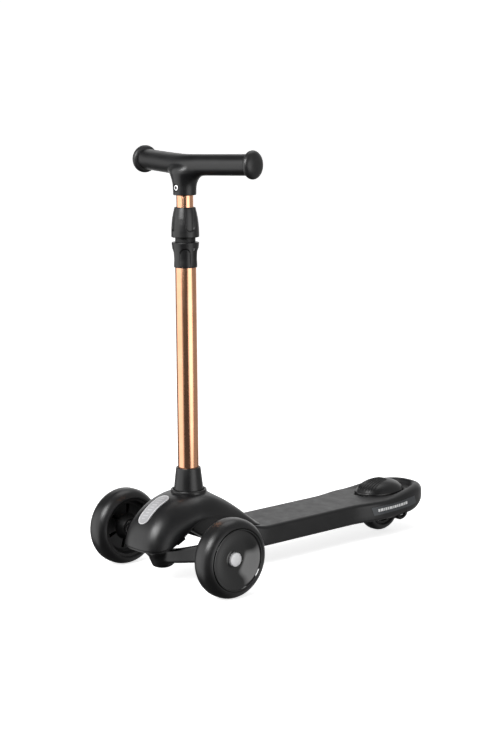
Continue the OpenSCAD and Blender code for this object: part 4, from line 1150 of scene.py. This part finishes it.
# ---------- Camera ----------
def aim(thing, position, target, roll=0.0):
    forward = (Vector(target) - Vector(position)).normalized()
    right = forward.cross(Vector((0, 0, 1))).normalized()
    up = right.cross(forward)
    right, up = right * cos(roll) + up * sin(roll), up * cos(roll) - right * sin(roll)
    rotation = Matrix((right, up, -forward)).transposed()
    thing.matrix_world = Matrix.Translation(position) @ rotation.to_4x4()


camera = bpy.data.objects.new("camera", bpy.data.cameras.new("camera"))
scene.collection.objects.link(camera)
camera.data.lens = 85.7
camera.data.sensor_width = 36
aim(camera, (2.0571, -1.8671, 0.7778), (0.003, -0.0708, 0.2985), radians(-0.41))
scene.camera = camera


# ---------- Studio ----------
def area_light(name, position, target, width, height, power):
    light = bpy.data.lights.new(name, "AREA")
    light.shape = "RECTANGLE"
    light.size, light.size_y = width, height
    light.energy = power
    thing = bpy.data.objects.new(name, light)
    thing.visible_camera = False
    scene.collection.objects.link(thing)
    aim(thing, position, target)


area_light("key_left", (0.45, -2.1, 1.7), (0, -0.1, 0.1), 1.4, 1.0, 68)
area_light("top", (-0.3, 0.6, 2.2), (0, 0.2, 0), 1.4, 1.4, 12)

floor_material, tree, shader = nodes_of("studio_floor")
tree.links.new(ramp(tree, noise(tree, 3, 3), [(0.3, (0.88, 0.88, 0.88)), (0.7, (0.90, 0.90, 0.90))]),
               shader.inputs["Base Color"])
tree.links.new(spread(tree, noise(tree, 8, 4), 0.7, 0.85), shader.inputs["Roughness"])
tree.links.new(lift(tree, noise(tree, 500, 2), 0.05, 0.02 * MM), shader.inputs["Normal"])
shader.inputs["Specular IOR Level"].default_value = 0.1
shader.inputs["Emission Color"].default_value = (1, 1, 1, 1)
shader.inputs["Emission Strength"].default_value = 0.75
reach = 30
floor = mesh_object("floor", [(-reach, -reach, 0), (reach, -reach, 0), (reach, reach, 0), (-reach, reach, 0)],
                    [(0, 1, 2, 3)], floor_material)
floor.visible_diffuse = False
floor.visible_glossy = False

# studio walls: dark, with a white backdrop and soft panels, each with its direction, the cosines where it
# starts and is full, and its strength
panels = (((-0.753, 0.658, 0.1), 0.80, 0.88, 1.02), ((0.99, 0.07, -0.02), 0.88, 0.95, 2.1),
          ((0.5, 0.87, 0.1), 0.2, 0.6, 0.3), ((-0.55, -0.83, -0.02), 0.70, 0.88, 1.6))
wall_light = 0.08
world = bpy.data.worlds.new("studio")
world.use_nodes = True
tree = world.node_tree
direction = tree.nodes.new("ShaderNodeTexCoord").outputs["Generated"]
total = None
for centre, start, full, strength in panels:
    facing = tree.nodes.new("ShaderNodeVectorMath")
    facing.operation = "DOT_PRODUCT"
    facing.inputs[1].default_value = Vector(centre).normalized()
    tree.links.new(direction, facing.inputs[0])
    panel = tree.nodes.new("ShaderNodeMapRange")
    panel.inputs["From Min"].default_value = start
    panel.inputs["From Max"].default_value = full
    panel.inputs["To Min"].default_value = 0.0 if total else wall_light
    panel.inputs["To Max"].default_value = strength
    tree.links.new(facing.outputs["Value"], panel.inputs["Value"])
    if total:
        both = tree.nodes.new("ShaderNodeMath")
        tree.links.new(total, both.inputs[0])
        tree.links.new(panel.outputs["Result"], both.inputs[1])
        total = both.outputs["Value"]
    else:
        total = panel.outputs["Result"]
tree.links.new(total, tree.nodes["Background"].inputs["Color"])
tree.nodes["Background"].inputs["Strength"].default_value = 1.0
scene.world = world
scene.view_settings.view_transform = "Standard"
